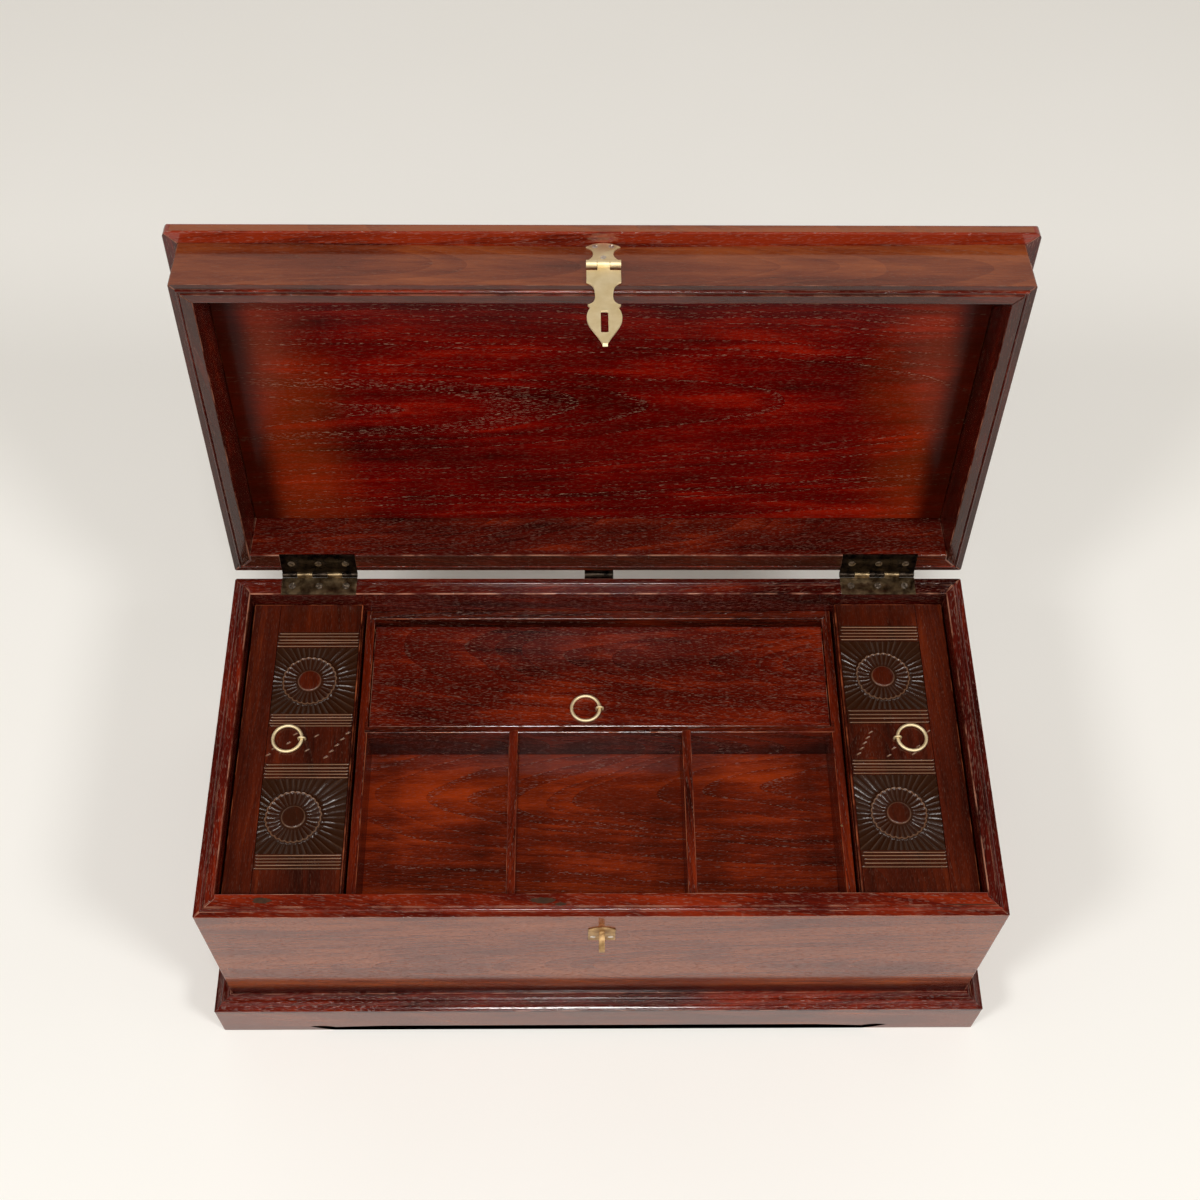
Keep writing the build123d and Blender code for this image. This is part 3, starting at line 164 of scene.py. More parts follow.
def stained_teak(name, dark, middle, light, pore_and_glint, uniform, ring_mm=7.0, pore_share=0.6, loose_pores=0.4,
                 wear_and_highlight="#8f4a2c", faded=None):
    """Teak boards in the piece's own board coordinates, kept in metres in the attribute grain:
    x along the grain, y across the board, z into it. The attribute stain is the board's own tone,
    arris marks the softened edges, where the finish is rubbed and a painted highlight lies along them,
    outside marks the broad outer faces, which have the faded colours where there are any and a painted
    shade of the base moulding at their foot, and grime marks handled faces."""
    material, tree, shader = new_material(name, uniform)
    board = add_node(tree, "Attribute", output="Vector", attribute_name="grain")

    # growth rings around a pith that lies off the board: the distance from the pith, bent a few
    # millimetres by a slow noise, and uneven in width
    across = add_node(tree, "VectorMath", board, (0.0, 1.0, 1.0), operation="MULTIPLY")
    reach = add_node(tree, "VectorMath", across, output="Value", operation="LENGTH")
    bend = streaks(tree, board, (5.0, 14.0, 14.0), 1.0)
    bent = add_node(tree, "Math", bend, 0.016, reach, operation="MULTIPLY_ADD")
    ring_place = add_node(tree, "Math", bent, 1000.0 / ring_mm, operation="MULTIPLY")
    uneven = add_node(tree, "TexNoise", inputs={"W": ring_place, "Scale": 0.7, "Detail": 1.0},
                      noise_dimensions="1D")
    ring = add_node(tree, "Math", uneven, 3.0, ring_place, operation="MULTIPLY_ADD")
    ring = add_node(tree, "Math", ring, operation="FRACT")
    # one row of large pores at the start of each ring, and loose ones between
    rows = add_node(tree, "MapRange", ring, 0.78, 0.94, interpolation_type="SMOOTHSTEP")
    share = add_node(tree, "Math", rows, 1.0 - loose_pores, loose_pores, operation="MULTIPLY_ADD")
    # pores are dashes 6 mm long and 0.6 mm wide, drawn a little coarser than teak's own so that they show
    dashes = streaks(tree, board, (160.0, 1700.0, 1300.0), 1.0)
    dashes = add_node(tree, "MapRange", dashes, 0.58, 0.68, interpolation_type="SMOOTHSTEP")
    pores = add_node(tree, "Math", dashes, share, operation="MULTIPLY")

    # tone: patches 160 mm long, bands 8 mm wide, fibre 1 mm wide, and the rings, about the board's own
    patches = streaks(tree, board, (6.0, 24.0, 20.0), 3.0, 0.3)
    tone = add_node(tree, "Math", patches, 1.4, -0.70, operation="MULTIPLY_ADD")
    for layer, weight, shift in ((streaks(tree, board, (8.0, 125.0, 80.0), 2.0, 0.2), 0.8, -0.40),
                                 (streaks(tree, board, (60.0, 900.0, 600.0)), 0.55, -0.27),
                                 (ring, -0.22, 0.11)):
        shifted = add_node(tree, "Math", tone, shift, operation="ADD")
        tone = add_node(tree, "Math", layer, weight, shifted, operation="MULTIPLY_ADD")
    stain = add_node(tree, "Attribute", output="Fac", attribute_name="stain")
    tone = add_node(tree, "Math", tone, stain, operation="ADD")

    ground = add_node(tree, "ValToRGB", tone, stops=((0.0, dark), (0.5, middle), (1.0, light)))
    if faded:
        outside = add_node(tree, "Attribute", output="Fac", attribute_name="outside")
        # the lid's lesser mark is enough for the whole of the faded colours, but not of their pores
        cover = add_node(tree, "Math", outside, 2.9, operation="MULTIPLY")
        cover = add_node(tree, "Math", cover, 1.0, operation="MINIMUM")
        faded_ground = add_node(tree, "ValToRGB", tone, stops=tuple(zip((0.0, 0.5, 1.0), faded)))
        ground = add_node(tree, "MixRGB", cover, ground, faded_ground)
        # the foot of the board, in the corner over the base moulding, stays dark: a painted shade and reflection
        # of the moulding
        place = add_node(tree, "TexCoord", output="Object")
        height = add_node(tree, "SeparateXYZ", place, output="Z")
        foot_low, foot_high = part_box("base_moulding_front")
        above = add_node(tree, "MapRange", height, foot_high.z + 0.010, foot_high.z + 0.026,
                         interpolation_type="SMOOTHSTEP")
        below = add_node(tree, "MapRange", height, foot_low.z - 0.002, foot_low.z - 0.006,
                         interpolation_type="SMOOTHSTEP")
        clear = add_node(tree, "Math", above, below, operation="ADD")
        corner = add_node(tree, "Math", 1.0, clear, operation="SUBTRACT")
        corner = add_node(tree, "Math", outside, corner, operation="MULTIPLY")
        # painted shade colour at the foot of the board
        ground = add_node(tree, "MixRGB", corner, ground, "#300a06")
        pore_and_glint = add_node(tree, "MixRGB", outside, pore_and_glint, "#1e0c04")
    # the pale pore colour is partly the pores' own tone and partly a painted glint of the lacquer sunk into them
    pore_cover = add_node(tree, "Math", pores, pore_share, operation="MULTIPLY")
    colour = add_node(tree, "MixRGB", pore_cover, ground, pore_and_glint)
    rub_and_highlight = streaks(tree, board, (40.0, 60.0, 60.0), 3.0)
    rub_and_highlight = add_node(tree, "MapRange", rub_and_highlight, 0.42, 0.66, interpolation_type="SMOOTHSTEP")
    arris = add_node(tree, "Attribute", output="Fac", attribute_name="arris")
    rub_and_highlight = add_node(tree, "Math", rub_and_highlight, arris, operation="MULTIPLY")
    # softened edges take a paler colour: rubbed finish and a painted highlight along the arris
    colour = add_node(tree, "MixRGB", rub_and_highlight, colour, wear_and_highlight)
    # handling has left a dark film on the faces that shut against each other
    grime = add_node(tree, "Attribute", output="Fac", attribute_name="grime")
    patchy = streaks(tree, board, (12.0, 80.0, 80.0))
    patchy = add_node(tree, "Math", patchy, 0.6, 0.35, operation="MULTIPLY_ADD")
    film = add_node(tree, "Math", grime, patchy, operation="MULTIPLY")
    colour = add_node(tree, "MixRGB", film, colour, "#2c1407")
    tree.links.new(colour, shader.inputs["Base Color"])
    # the lacquer sinks a little into each pore and follows the fibre
    fibre = streaks(tree, board, (9.0, 260.0, 200.0))
    fibre = add_node(tree, "Math", fibre, 0.5, operation="MULTIPLY")
    relief = add_node(tree, "Math", pores, -1.0, fibre, operation="MULTIPLY_ADD")
    bump = add_node(tree, "Bump", inputs={"Height": relief, "Strength": 0.30, "Distance": 0.00025})
    tree.links.new(bump, shader.inputs["Normal"])
    tree.links.new(bump, shader.inputs["Coat Normal"])
    return material


def red_lacquered_teak():
    # Teak, stained red and brushed with a clear gloss lacquer: a deep red-brown in which pores and
    # figure show, and a wet reflection at low angles. Outside, years of daylight have turned it brown.
    colours = bpy.context.scene.chest_colours
    return stained_teak("red_lacquered_teak", colours.lacquer_dark, "#4e0e05", colours.lacquer_red, "#9a7d6c",
                        lacquer(1.0, 0.11), pore_share=0.36, loose_pores=0.65, wear_and_highlight="#a5705a",
                        faded=("#3e1307", "#672a12", "#884420"))


def panel_teak():
    # The wide board of the lid, stained as the rest but redder: flat-sawn, so that its rings run out
    # in long pointed arches. Inside the lid, toward its ends, the stain is thin and the teak's own
    # orange-brown comes through.
    material = stained_teak("flat_sawn_lacquered_teak", "#300100", "#560200", "#861303", "#9a7c68",
                            lacquer(0.2, 0.15), ring_mm=12.0, pore_share=0.55, loose_pores=0.2)
    tree, socket, stained = base_colour(material)
    place = add_node(tree, "TexCoord", output="Object")
    bend = add_node(tree, "TexNoise", inputs={"Vector": place, "Scale": 9.0})
    across = add_node(tree, "SeparateXYZ", place, output="X")
    from_middle = add_node(tree, "Math", across, operation="ABSOLUTE")
    inside = add_node(tree, "Attribute", output="Fac", attribute_name="inside")
    from_middle = add_node(tree, "Math", from_middle, inside, operation="MULTIPLY")
    ends = add_node(tree, "Math", bend, 0.12, from_middle, operation="MULTIPLY_ADD")
    ends = add_node(tree, "MapRange", ends, 0.30, 0.385, 0.0, 0.7, interpolation_type="SMOOTHSTEP")
    thin = add_node(tree, "MixRGB", ends, stained, "#5a2409", blend_type="SCREEN")
    # beside the rails, a painted shadow of the side rails, nearly black
    rail_shadow = add_node(tree, "Math", bend, 0.03, from_middle, operation="MULTIPLY_ADD")
    rail_shadow = add_node(tree, "MapRange", rail_shadow, 0.338, 0.362, 0.0, 0.8, interpolation_type="SMOOTHSTEP")
    # the painted rail shadow darkens the stained panel
    tree.links.new(add_node(tree, "MixRGB", rail_shadow, thin, "#1a0100"), socket)
    return material


def inner_teak():
    # The same teak inside the tills and the tray, under one thin coat: warmer, with dark pores.
    return stained_teak("thinly_lacquered_teak", "#2c0802", "#601906", "#94310c", "#8a7468",
                        lacquer(0.8, 0.16), loose_pores=0.2)


def raw_teak():
    # Sawn teak without a finish, where no brush reached: dull yellow-brown and rough.
    return stained_teak("raw_sawn_teak", "#5d4028", "#80603c", "#a07c50", "#4a3220",
                        {"Roughness": 0.8, "IOR": 1.5, "Specular IOR Level": 0.3}, wear_and_highlight="#a88a62")


def carved_teak():
    # Teak carved with gouges and glazed with a dark stain that stayed in the cuts: brown-black
    # hollows, red where the wood was left plain, and grey-pink where the crests are rubbed, with a
    # painted highlight on the lips of the discs and petals, on the ridges and in the ribbed cuts.
    # carve is how dark the glaze is, and crest how rubbed the wood and how strong the painted highlight.
    material = stained_teak("carved_glazed_teak", "#2a0802", "#4a1506", "#6c260b", "#7a5a4a",
                            lacquer(0.6, 0.22), pore_share=0.3)
    tree, socket, colour = base_colour(material)
    # the crest colour stands for rubbed wood and for a painted highlight
    for mark, stain in (("carve", "#2b1407"), ("crest", "#a07a5e")):
        cover = add_node(tree, "Attribute", output="Fac", attribute_name=mark)
        colour = add_node(tree, "MixRGB", cover, colour, stain)
    tree.links.new(colour, socket)
    return material


def filler_patch():
    # Knots and splits stopped with dark filler: dull olive-brown spots in the red wood.
    material, tree, shader = new_material("dark_wood_filler", {"Roughness": 0.55, "IOR": 1.5,
                                                               "Specular IOR Level": 0.3})
    place = add_node(tree, "TexCoord", output="Object")
    cloud = add_node(tree, "TexNoise", inputs={"Vector": place, "Scale": 220.0, "Detail": 3.0})
    tint = add_node(tree, "ValToRGB", cloud, stops=((0.0, "#1e0f06"), (1.0, "#4c2a12")))
    tree.links.new(tint, shader.inputs["Base Color"])
    return material


def yellow_brass():
    # Brass sheet and wire, cut, filed and left unlacquered: pale yellow with a soft brushed shine,
    # a little browner where hands have touched it.
    material, tree, shader = new_material("filed_yellow_brass", {"Metallic": 1.0})
    place = add_node(tree, "TexCoord", output="Object")
    cloud = add_node(tree, "TexNoise", inputs={"Vector": place, "Scale": 90.0, "Detail": 4.0})
    clean = bpy.context.scene.chest_colours.brass
    tint = add_node(tree, "ValToRGB", cloud, stops=((0.3, "#f0dcae"), (0.62, clean)))
    tree.links.new(tint, shader.inputs["Base Color"])
    # file marks 0.4 mm apart, across the fitting
    marks = streaks(tree, place, (90.0, 2500.0, 2500.0))
    rough = add_node(tree, "MapRange", marks, 0.0, 1.0, 0.54, 0.64)
    tree.links.new(rough, shader.inputs["Roughness"])
    bump = add_node(tree, "Bump", inputs={"Height": marks, "Strength": 0.25, "Distance": 0.0001})
    tree.links.new(bump, shader.inputs["Normal"])
    return material


def aged_metal(name, low, high, rough_low, rough_high, spot_scale):
    """A metal whose colour and shine change in spots of the given scale per metre."""
    material, tree, shader = new_material(name, {"Metallic": 1.0})
    place = add_node(tree, "TexCoord", output="Object")
    spots = add_node(tree, "TexNoise", inputs={"Vector": place, "Scale": spot_scale, "Detail": 5.0,
                                               "Roughness": 0.6})
    tint = add_node(tree, "ValToRGB", spots, stops=((0.38, low), (0.66, high)))
    tree.links.new(tint, shader.inputs["Base Color"])
    rough = add_node(tree, "MapRange", spots, 0.3, 0.7, rough_low, rough_high)
    tree.links.new(rough, shader.inputs["Roughness"])
    bump = add_node(tree, "Bump", inputs={"Height": spots, "Strength": 0.3, "Distance": 0.0002})
    tree.links.new(bump, shader.inputs["Normal"])
    return material


def tarnished_brass():
    # Cast brass that has tarnished in the open: brown in the hollows, dull yellow where it is touched.
    return aged_metal("tarnished_brass", "#93704a", "#c7a678", 0.42, 0.6, 160.0)


def blackened_steel():
    # Pressed steel, blackened and oiled: near black with a dull sheen.
    lightest = bpy.context.scene.chest_colours.steel
    return aged_metal("blackened_steel", "#1a1613", lightest, 0.22, 0.42, 140.0)


def rubbed_steel():
    # The same steel where its blacking has worn to grey-brown metal.
    return aged_metal("rubbed_steel", "#574733", "#a08a68", 0.26, 0.46, 90.0)


def worn_screw():
    # Steel screws whose blacking the driver has rubbed off: dull grey, brighter at the slot.
    return aged_metal("worn_steel_screw", "#6a5f52", "#b8ab9a", 0.32, 0.5, 400.0)


def zinc_screw():
    # Steel wood screws with thin bright zinc, a little dulled.
    return aged_metal("zinc_plated_steel", "#d8cec2", "#f4ede4", 0.45, 0.6, 300.0)


MADE = {}


def material_of(maker):
    """Each finish is made once."""
    if maker not in MADE:
        MADE[maker] = maker()
    return MADE[maker]


# ---------------------------------------------------------------- making pieces
def grain_frame(node, along, lid):
    """Matrix from the row frame to a board's own metres: x along the grain, y across, z through.
    The pith lies some way off the board and leans a little, each board in its own way."""
    seed = random.Random(node)
    low, high = lid_box(node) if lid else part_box(node)
    turn = Matrix.Identity(4)
    size = high - low
    if along == "Y":
        turn = Matrix.Rotation(radians(-90), 4, "Z")
        size = Vector((size.y, size.x, size.z))
    if size.z > size.y:
        turn = Matrix.Rotation(radians(-90), 4, "X") @ turn
    centred = Matrix.Translation(-(low + high) / 2)
    lean = Matrix.Identity(4)
    lean[1][0] = seed.uniform(-0.03, 0.03)
    lean[2][0] = seed.uniform(0.05, 0.11) * seed.choice((-1, 1))
    shift = Vector((seed.uniform(-1, 1), seed.uniform(-0.04, 0.04), seed.uniform(0.045, 0.07)))
    local = CLOSE_LID if lid else Matrix.Identity(4)
    return Matrix.Translation(shift) @ lean @ turn @ centred @ local


def lid_box(node):
    """A lid node's corners with the lid shut."""
    points = [CLOSE_LID @ v.co for v in frame["nodes"][node].data.vertices]
    return (Vector([min(p[i] for p in points) for i in range(3)]),
            Vector([max(p[i] for p in points) for i in range(3)]))


def write_grain(bm, matrix, stain):
    """Store each corner's place in its board, and the board's tone, where 0.5 is the middle one."""
    grain = bm.verts.layers.float_vector.get("grain") or bm.verts.layers.float_vector.new("grain")
    tone = bm.verts.layers.float.get("stain") or bm.verts.layers.float.new("stain")
    for vert in bm.verts:
        vert[grain] = matrix @ vert.co
        vert[tone] = stain


def finish_piece(bm, name, maker, body, replaced=(), smooth=False):
    """Write a bmesh to a piece, give it its finish and let it ride on its body."""
    mesh = bpy.data.meshes.new(name)
    for face in bm.faces:
        face.smooth = smooth
    bm.to_mesh(mesh)
    bm.free()
    piece = bpy.data.objects.new(name, mesh)
    bpy.context.scene.collection.objects.link(piece)
    mesh.materials.append(material_of(maker))
    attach(piece, body)
    if replaced:
        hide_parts(*replaced)
    return piece


def body_of(node):
    for body, nodes in frame["record"]["behaviour"]["bodies"].items():
        if node in nodes:
            return body
    raise ValueError(node)


def replace_node(bm, name, maker, node, smooth=False):
    """A piece that stands for one CAD node, on its body, with the node hidden."""
    return finish_piece(bm, name, maker, body_of(node), (node,), smooth)


def node_mesh(node, whole_faces=True):
    """A CAD node's shape with its corners joined, and each flat face made one."""
    bm = bmesh.new()
    bm.from_mesh(frame["nodes"][node].data)
    bmesh.ops.remove_doubles(bm, verts=bm.verts, dist=1e-6)
    if whole_faces:
        bmesh.ops.dissolve_limit(bm, angle_limit=radians(0.8), verts=bm.verts, edges=bm.edges)
    return bm


def verts_of(geometry):
    return [item for item in geometry if isinstance(item, bmesh.types.BMVert)]


def edges_of(geometry):
    return [item for item in geometry if isinstance(item, bmesh.types.BMEdge)]


def everything(bm):
    return bm.verts[:] + bm.edges[:] + bm.faces[:]


def sharp_edges(bm, angle, shortest=0.0):
    """Edges between two faces that turn by more than an angle in degrees."""
    return [e for e in bm.edges if len(e.link_faces) == 2 and e.calc_face_angle(0) > radians(angle)
            and e.calc_length() > shortest]


def round_edges(bm, edges, width, segments=2, layer=None, clamp=False):
    """Round edges, and mark their new faces in a layer where one is given."""
    made = bmesh.ops.bevel(bm, geom=edges, offset=width, offset_type="OFFSET", segments=segments,
                           profile=0.5, affect="EDGES", material=-1, clamp_overlap=clamp)
    if layer is not None:
        for face in made["faces"]:
            face[layer] = 1.0


def shade_by_angle(piece, angle):
    """Keep the edges of a smooth piece sharp from an angle in degrees."""
    bm = bmesh.new()
    bm.from_mesh(piece.data)
    sharp = set(sharp_edges(bm, angle))
    for edge in bm.edges:
        edge.smooth = edge not in sharp
    bm.to_mesh(piece.data)
    bm.free()


# softened edge of mouldings and small pegs
FINE_ARRIS = 0.0003


def board_mesh(node, width, lid):
    """A board's own shape with its arrises taken off: by width where both faces are broad, and less
    along narrow mouldings. Faces are marked as outside where they are broad outer ones, less on
    the lid, as grime where a lid board shuts on the carcass, and as inside within the lid."""
    bm = node_mesh(node)
    arris, outside, grime, inside = (
        bm.faces.layers.float.new(name) for name in ("arris", "outside", "grime", "inside"))
    shut = CLOSE_LID if lid else Matrix.Identity(4)
    rim_reach, broad_area = 0.004, 0.005
    for face in bm.faces:
        normal = shut.to_3x3() @ face.normal
        middle = TO_CARCASS @ shut @ face.calc_center_median()
        if lid and normal.z < -0.9:
            face[grime if middle.z < rim_reach else inside] = 1.0
        # the back never saw the light
        outward = normal.x * middle.x + normal.y * middle.y > 0 and abs(normal.z) < 0.3 and normal.y < 0.5
        if outward and face.calc_area() > broad_area:
            face[outside] = 0.35 if lid else 1.0
    broad = [e for e in sharp_edges(bm, 25, 0.004)
             if min(f.calc_area() for f in e.link_faces) / e.calc_length() > 5 * width]
    round_edges(bm, broad, width, layer=arris)
    round_edges(bm, sharp_edges(bm, 50, 0.01), FINE_ARRIS, layer=arris)
    bmesh.ops.triangulate(bm, faces=[f for f in bm.faces if len(f.verts) > 4])
    return bm


def dress_boards(nodes, maker, width, lid=False):
    """Boards with softened arrises in place of their sharp ones; nodes maps a node to its grain and tone."""
    for node, (along, stain) in nodes.items():
        bm = board_mesh(node, width, lid)
        write_grain(bm, grain_frame(node, along, lid), stain)
        replace_node(bm, node + "_wood", maker, node)


def islands(node):
    """The corners of each separate solid of a CAD node, in order of place."""
    bm = node_mesh(node, whole_faces=False)
    left = set(bm.verts)
    found = []
    while left:
        reached = {left.pop()}
        edge = list(reached)
        while edge:
            vert = edge.pop()
            for link in vert.link_edges:
                other = link.other_vert(vert)
                if other in left:
                    left.discard(other)
                    reached.add(other)
                    edge.append(other)
        found.append([v.co.copy() for v in reached])
    bm.free()
    return sorted(found, key=lambda solid: [round(min(c[i] for c in solid), 5) for i in range(3)])


# ---------------------------------------------------------------- stage
class CHEST_OT_stage(bpy.types.Operator):
    """Pale floor, soft lamps and the camera"""
    bl_idname = "chest.stage"
    bl_label = "Stage"

    def execute(self, context):
        scene = context.scene
        scene.view_settings.view_transform = "Standard"
        bm = bmesh.new()
        bmesh.ops.create_circle(bm, cap_ends=True, segments=96, radius=9.0)
        mesh = bpy.data.meshes.new("studio_floor")
        bm.to_mesh(mesh)
        bm.free()
        floor_piece = bpy.data.objects.new("studio_floor", mesh)
        scene.collection.objects.link(floor_piece)
        # matt paper sweep: an even white that keeps a soft shadow
        material, tree, shader = new_material("white_paper", {"Roughness": 0.95, "Specular IOR Level": 0.1})
        place = add_node(tree, "TexCoord", output="Object")
        cloud = add_node(tree, "TexNoise", inputs={"Vector": place, "Scale": 3.0})
        paper = add_node(tree, "MixRGB", cloud, "#faf9f7", "#f7f6f3")
        tree.links.new(paper, shader.inputs["Base Color"])
        mesh.materials.append(material)

        # studio room: warm white walls up to 45 degrees, a dark ceiling above them
        world = bpy.data.worlds.new("studio_room")
        scene.world = world
        world.use_nodes = True
        tree = world.node_tree
        background = tree.nodes["Background"]
        height = add_node(tree, "SeparateXYZ", add_node(tree, "TexCoord", output="Generated"), output="Z")
        strength = add_node(tree, "MapRange", height, 0.64, 0.78, 0.66, 0.05, interpolation_type="SMOOTHSTEP")
        tree.links.new(strength, background.inputs["Strength"])
        background.inputs["Color"].default_value = linear("#fff6e9")

        lamps = (
            ("left_softbox", (-2.1, -1.8, 3.3), (0.0, -0.05, 0.25), 0.9, 46.5),
            ("right_softbox", (2.1, -1.8, 3.3), (0.0, -0.05, 0.25), 0.9, 46.5),
            ("front_softbox", (0.0, -1.3, 4.3), (0.0, -0.05, 0.2), 0.8, 61.0),
        )
        for name, at, aim, size, power in lamps:
            lamp = bpy.data.lights.new(name, "AREA")
            lamp.shape = "DISK"
            lamp.size = size
            lamp.energy = power
            lamp.color = linear("#fffefb")[:3]
            holder = bpy.data.objects.new(name, lamp)
            holder.location = at
            holder.rotation_euler = (Vector(aim) - Vector(at)).to_track_quat("-Z", "Y").to_euler()
            scene.collection.objects.link(holder)

        elevation, azimuth, roll = radians(58.345), radians(-1.396), radians(1.145)
        aim = FROM_CARCASS @ Vector((-0.00489, 0.13045, 0.0))
        back = Vector((sin(azimuth) * cos(elevation), -cos(azimuth) * cos(elevation), sin(elevation)))
        side = (-back).cross(Vector((0, 0, 1))).normalized()
        up = side.cross(-back)
        right = side * cos(roll) + up * sin(roll)
        top = up * cos(roll) - side * sin(roll)
        lens = bpy.data.cameras.new("camera")
        # the lens in pixels of a square frame: its side, the focal length and the optical axis
        frame_px, focal_px, axis_x, axis_y = 1200.0, 1654.1, 594.7, 623.8
        lens.sensor_width = 36.0
        lens.lens = lens.sensor_width * focal_px / frame_px
        lens.shift_x = (frame_px / 2 - axis_x) / frame_px
        lens.shift_y = (axis_y - frame_px / 2) / frame_px
        camera = bpy.data.objects.new("camera", lens)
        scene.collection.objects.link(camera)
        distance = 1.7011
        at = aim + back * distance
        camera.matrix_world = Matrix(((right.x, top.x, back.x, at.x), (right.y, top.y, back.y, at.y),
                                      (right.z, top.z, back.z, at.z), (0, 0, 0, 1)))
        scene.camera = camera
        return {"FINISHED"}


# ---------------------------------------------------------------- wooden pieces
class CHEST_OT_carcass(bpy.types.Operator):
    """Boards of the carcass, its plinth and moulding"""
    bl_idname = "chest.carcass"
    bl_label = "Carcass"

    def execute(self, context):
        sizes = context.scene.chest_sizes
        dress_boards({"board_front": ("X", 0.65), "board_back": ("X", 0.25), "board_left": ("Y", 0.35),
                      "board_right": ("Y", 0.40)}, red_lacquered_teak, sizes.rim_arris)
        dress_boards({"plinth_front": ("X", 0.45), "plinth_left": ("Y", 0.3), "plinth_right": ("Y", 0.3)},
                     red_lacquered_teak, sizes.rim_arris)
        dress_boards({"base_moulding_front": ("X", 0.45), "base_moulding_left": ("Y", 0.3),
                      "base_moulding_right": ("Y", 0.3)}, red_lacquered_teak, sizes.arris)
        dress_boards({"tray_cleats": ("X", 0.2)}, inner_teak, sizes.arris)
        dress_boards({"bottom_board": ("X", 0.3), "foot_blocks": ("Y", 0.3)}, raw_teak, sizes.arris)
        return {"FINISHED"}


class CHEST_OT_lid_frame(bpy.types.Operator):
    """Rails, top board and edging of the lid"""
    bl_idname = "chest.lid_frame"
    bl_label = "Lid"

    def execute(self, context):
        sizes = context.scene.chest_sizes
        dress_boards({"lid_rail_front": ("X", 0.6), "lid_rail_back": ("X", 0.45), "lid_rail_left": ("Y", 0.3),
                      "lid_rail_right": ("Y", 0.3)}, red_lacquered_teak, sizes.rim_arris, lid=True)
        dress_boards({"lid_edging_front": ("X", 0.9), "lid_edging_left": ("Y", 0.4),
                      "lid_edging_right": ("Y", 0.4)}, red_lacquered_teak, sizes.arris, lid=True)
        dress_boards({"lid_top": ("X", 0.45)}, panel_teak, sizes.arris, lid=True)
        return {"FINISHED"}


class CHEST_OT_tills(bpy.types.Operator):
    """Walls, bottoms and battens of the two tills"""
    bl_idname = "chest.tills"
    bl_label = "Tills"

    def execute(self, context):
        width = context.scene.chest_sizes.arris
        for side in ("left", "right"):
            dress_boards({f"{side}_till_sides": ("Y", 0.3), f"{side}_till_ends": ("X", 0.3),
                          f"{side}_till_bottom": ("Y", 0.35), f"{side}_till_lid_battens": ("X", 0.35)},
                         inner_teak, width)
        return {"FINISHED"}


class CHEST_OT_tray(bpy.types.Operator):
    """Walls, dividers, floor and lid of the tray"""
    bl_idname = "chest.tray"
    bl_label = "Tray"

    def execute(self, context):
        width = context.scene.chest_sizes.arris
        dress_boards({"tray_front": ("X", 0.35), "tray_back": ("X", 0.1), "tray_sides": ("Y", 0.35),
                      "cross_divider": ("X", 0.05), "tray_dividers": ("Y", 0.4), "tray_bottom": ("X", 0.55)},
                     inner_teak, width)
        dress_boards({"tray_lid": ("X", 0.5)}, red_lacquered_teak, width)
        dress_boards({"tray_lid_pins": ("X", 0.3)}, raw_teak, FINE_ARRIS)
        return {"FINISHED"}


class CHEST_OT_mends(bpy.types.Operator):
    """Filler in the front rim and a nail in the tray's wall"""
    bl_idname = "chest.mends"
    bl_label = "Mends"

    def execute(self, context):
        ragged = random.Random(5)
        # middle of each stopped knot in carcass metres, its half length and half width
        knots = ((-0.3167, -0.1718, 0.0100, 0.0034), (-0.0545, -0.1722, 0.0140, 0.0034),
                 (-0.0390, -0.1760, 0.0060, 0.0020), (0.3460, -0.1775, 0.0290, 0.0006))
        gathered = bmesh.new()
        for x, y, half_length, half_width in knots:
            made = bmesh.ops.create_circle(gathered, cap_ends=True, segments=26, radius=1.0)
            for vert in made["verts"]:
                vert.co *= ragged.uniform(0.72, 1.0)
            place = Matrix.Translation((x, y, 0.0)) @ Matrix.Diagonal((half_length, half_width, 1.0, 1.0))
            bmesh.ops.transform(gathered, matrix=FROM_CARCASS @ place, verts=made["verts"])
        thick = bmesh.ops.extrude_face_region(gathered, geom=gathered.faces[:])["geom"]
        filler_proud = 0.00006
        bmesh.ops.translate(gathered, verts=verts_of(thick), vec=Vector((0, 0, filler_proud)))
        bmesh.ops.recalc_face_normals(gathered, faces=gathered.faces)
        bmesh.ops.triangulate(gathered, faces=gathered.faces)
        finish_piece(gathered, "stopped_knots", filler_patch, "chest")

        nail = bmesh.new()
        nail_radius, nail_top_radius, nail_height, nail_lift = 0.0013, 0.0011, 0.0006, 0.0001
        bmesh.ops.create_cone(nail, cap_ends=True, segments=24, radius1=nail_radius,
                              radius2=nail_top_radius, depth=nail_height)
        place = FROM_CARCASS @ Vector((0.2360, -0.0820, 0.0))
        place.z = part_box("tray_sides")[1].z + nail_lift
        bmesh.ops.translate(nail, verts=nail.verts, vec=place)
        finish_piece(nail, "tray_nail", tarnished_brass, "tray")
        return {"FINISHED"}


# ---------------------------------------------------------------- carved till lids
def trough(share):
    """Depth across a gouge cut, 0 at its edges and 1 in its middle; share counts cuts."""
    part = share - floor(share)
    return 1.0 - (2.0 * part - 1.0) ** 2


# depth below the lid's top of the pocket that a carving lies in, and depth of a gouge cut
POCKET_DEPTH = 0.0038
GOUGE_DEPTH = 0.0009


def smooth_step(low, high, value):
    part = min(1.0, max(0.0, (value - low) / (high - low)))
    return part * part * (3.0 - 2.0 * part)


def add_layers(bm):
    return bm.verts.layers.float.new("carve"), bm.verts.layers.float.new("crest")


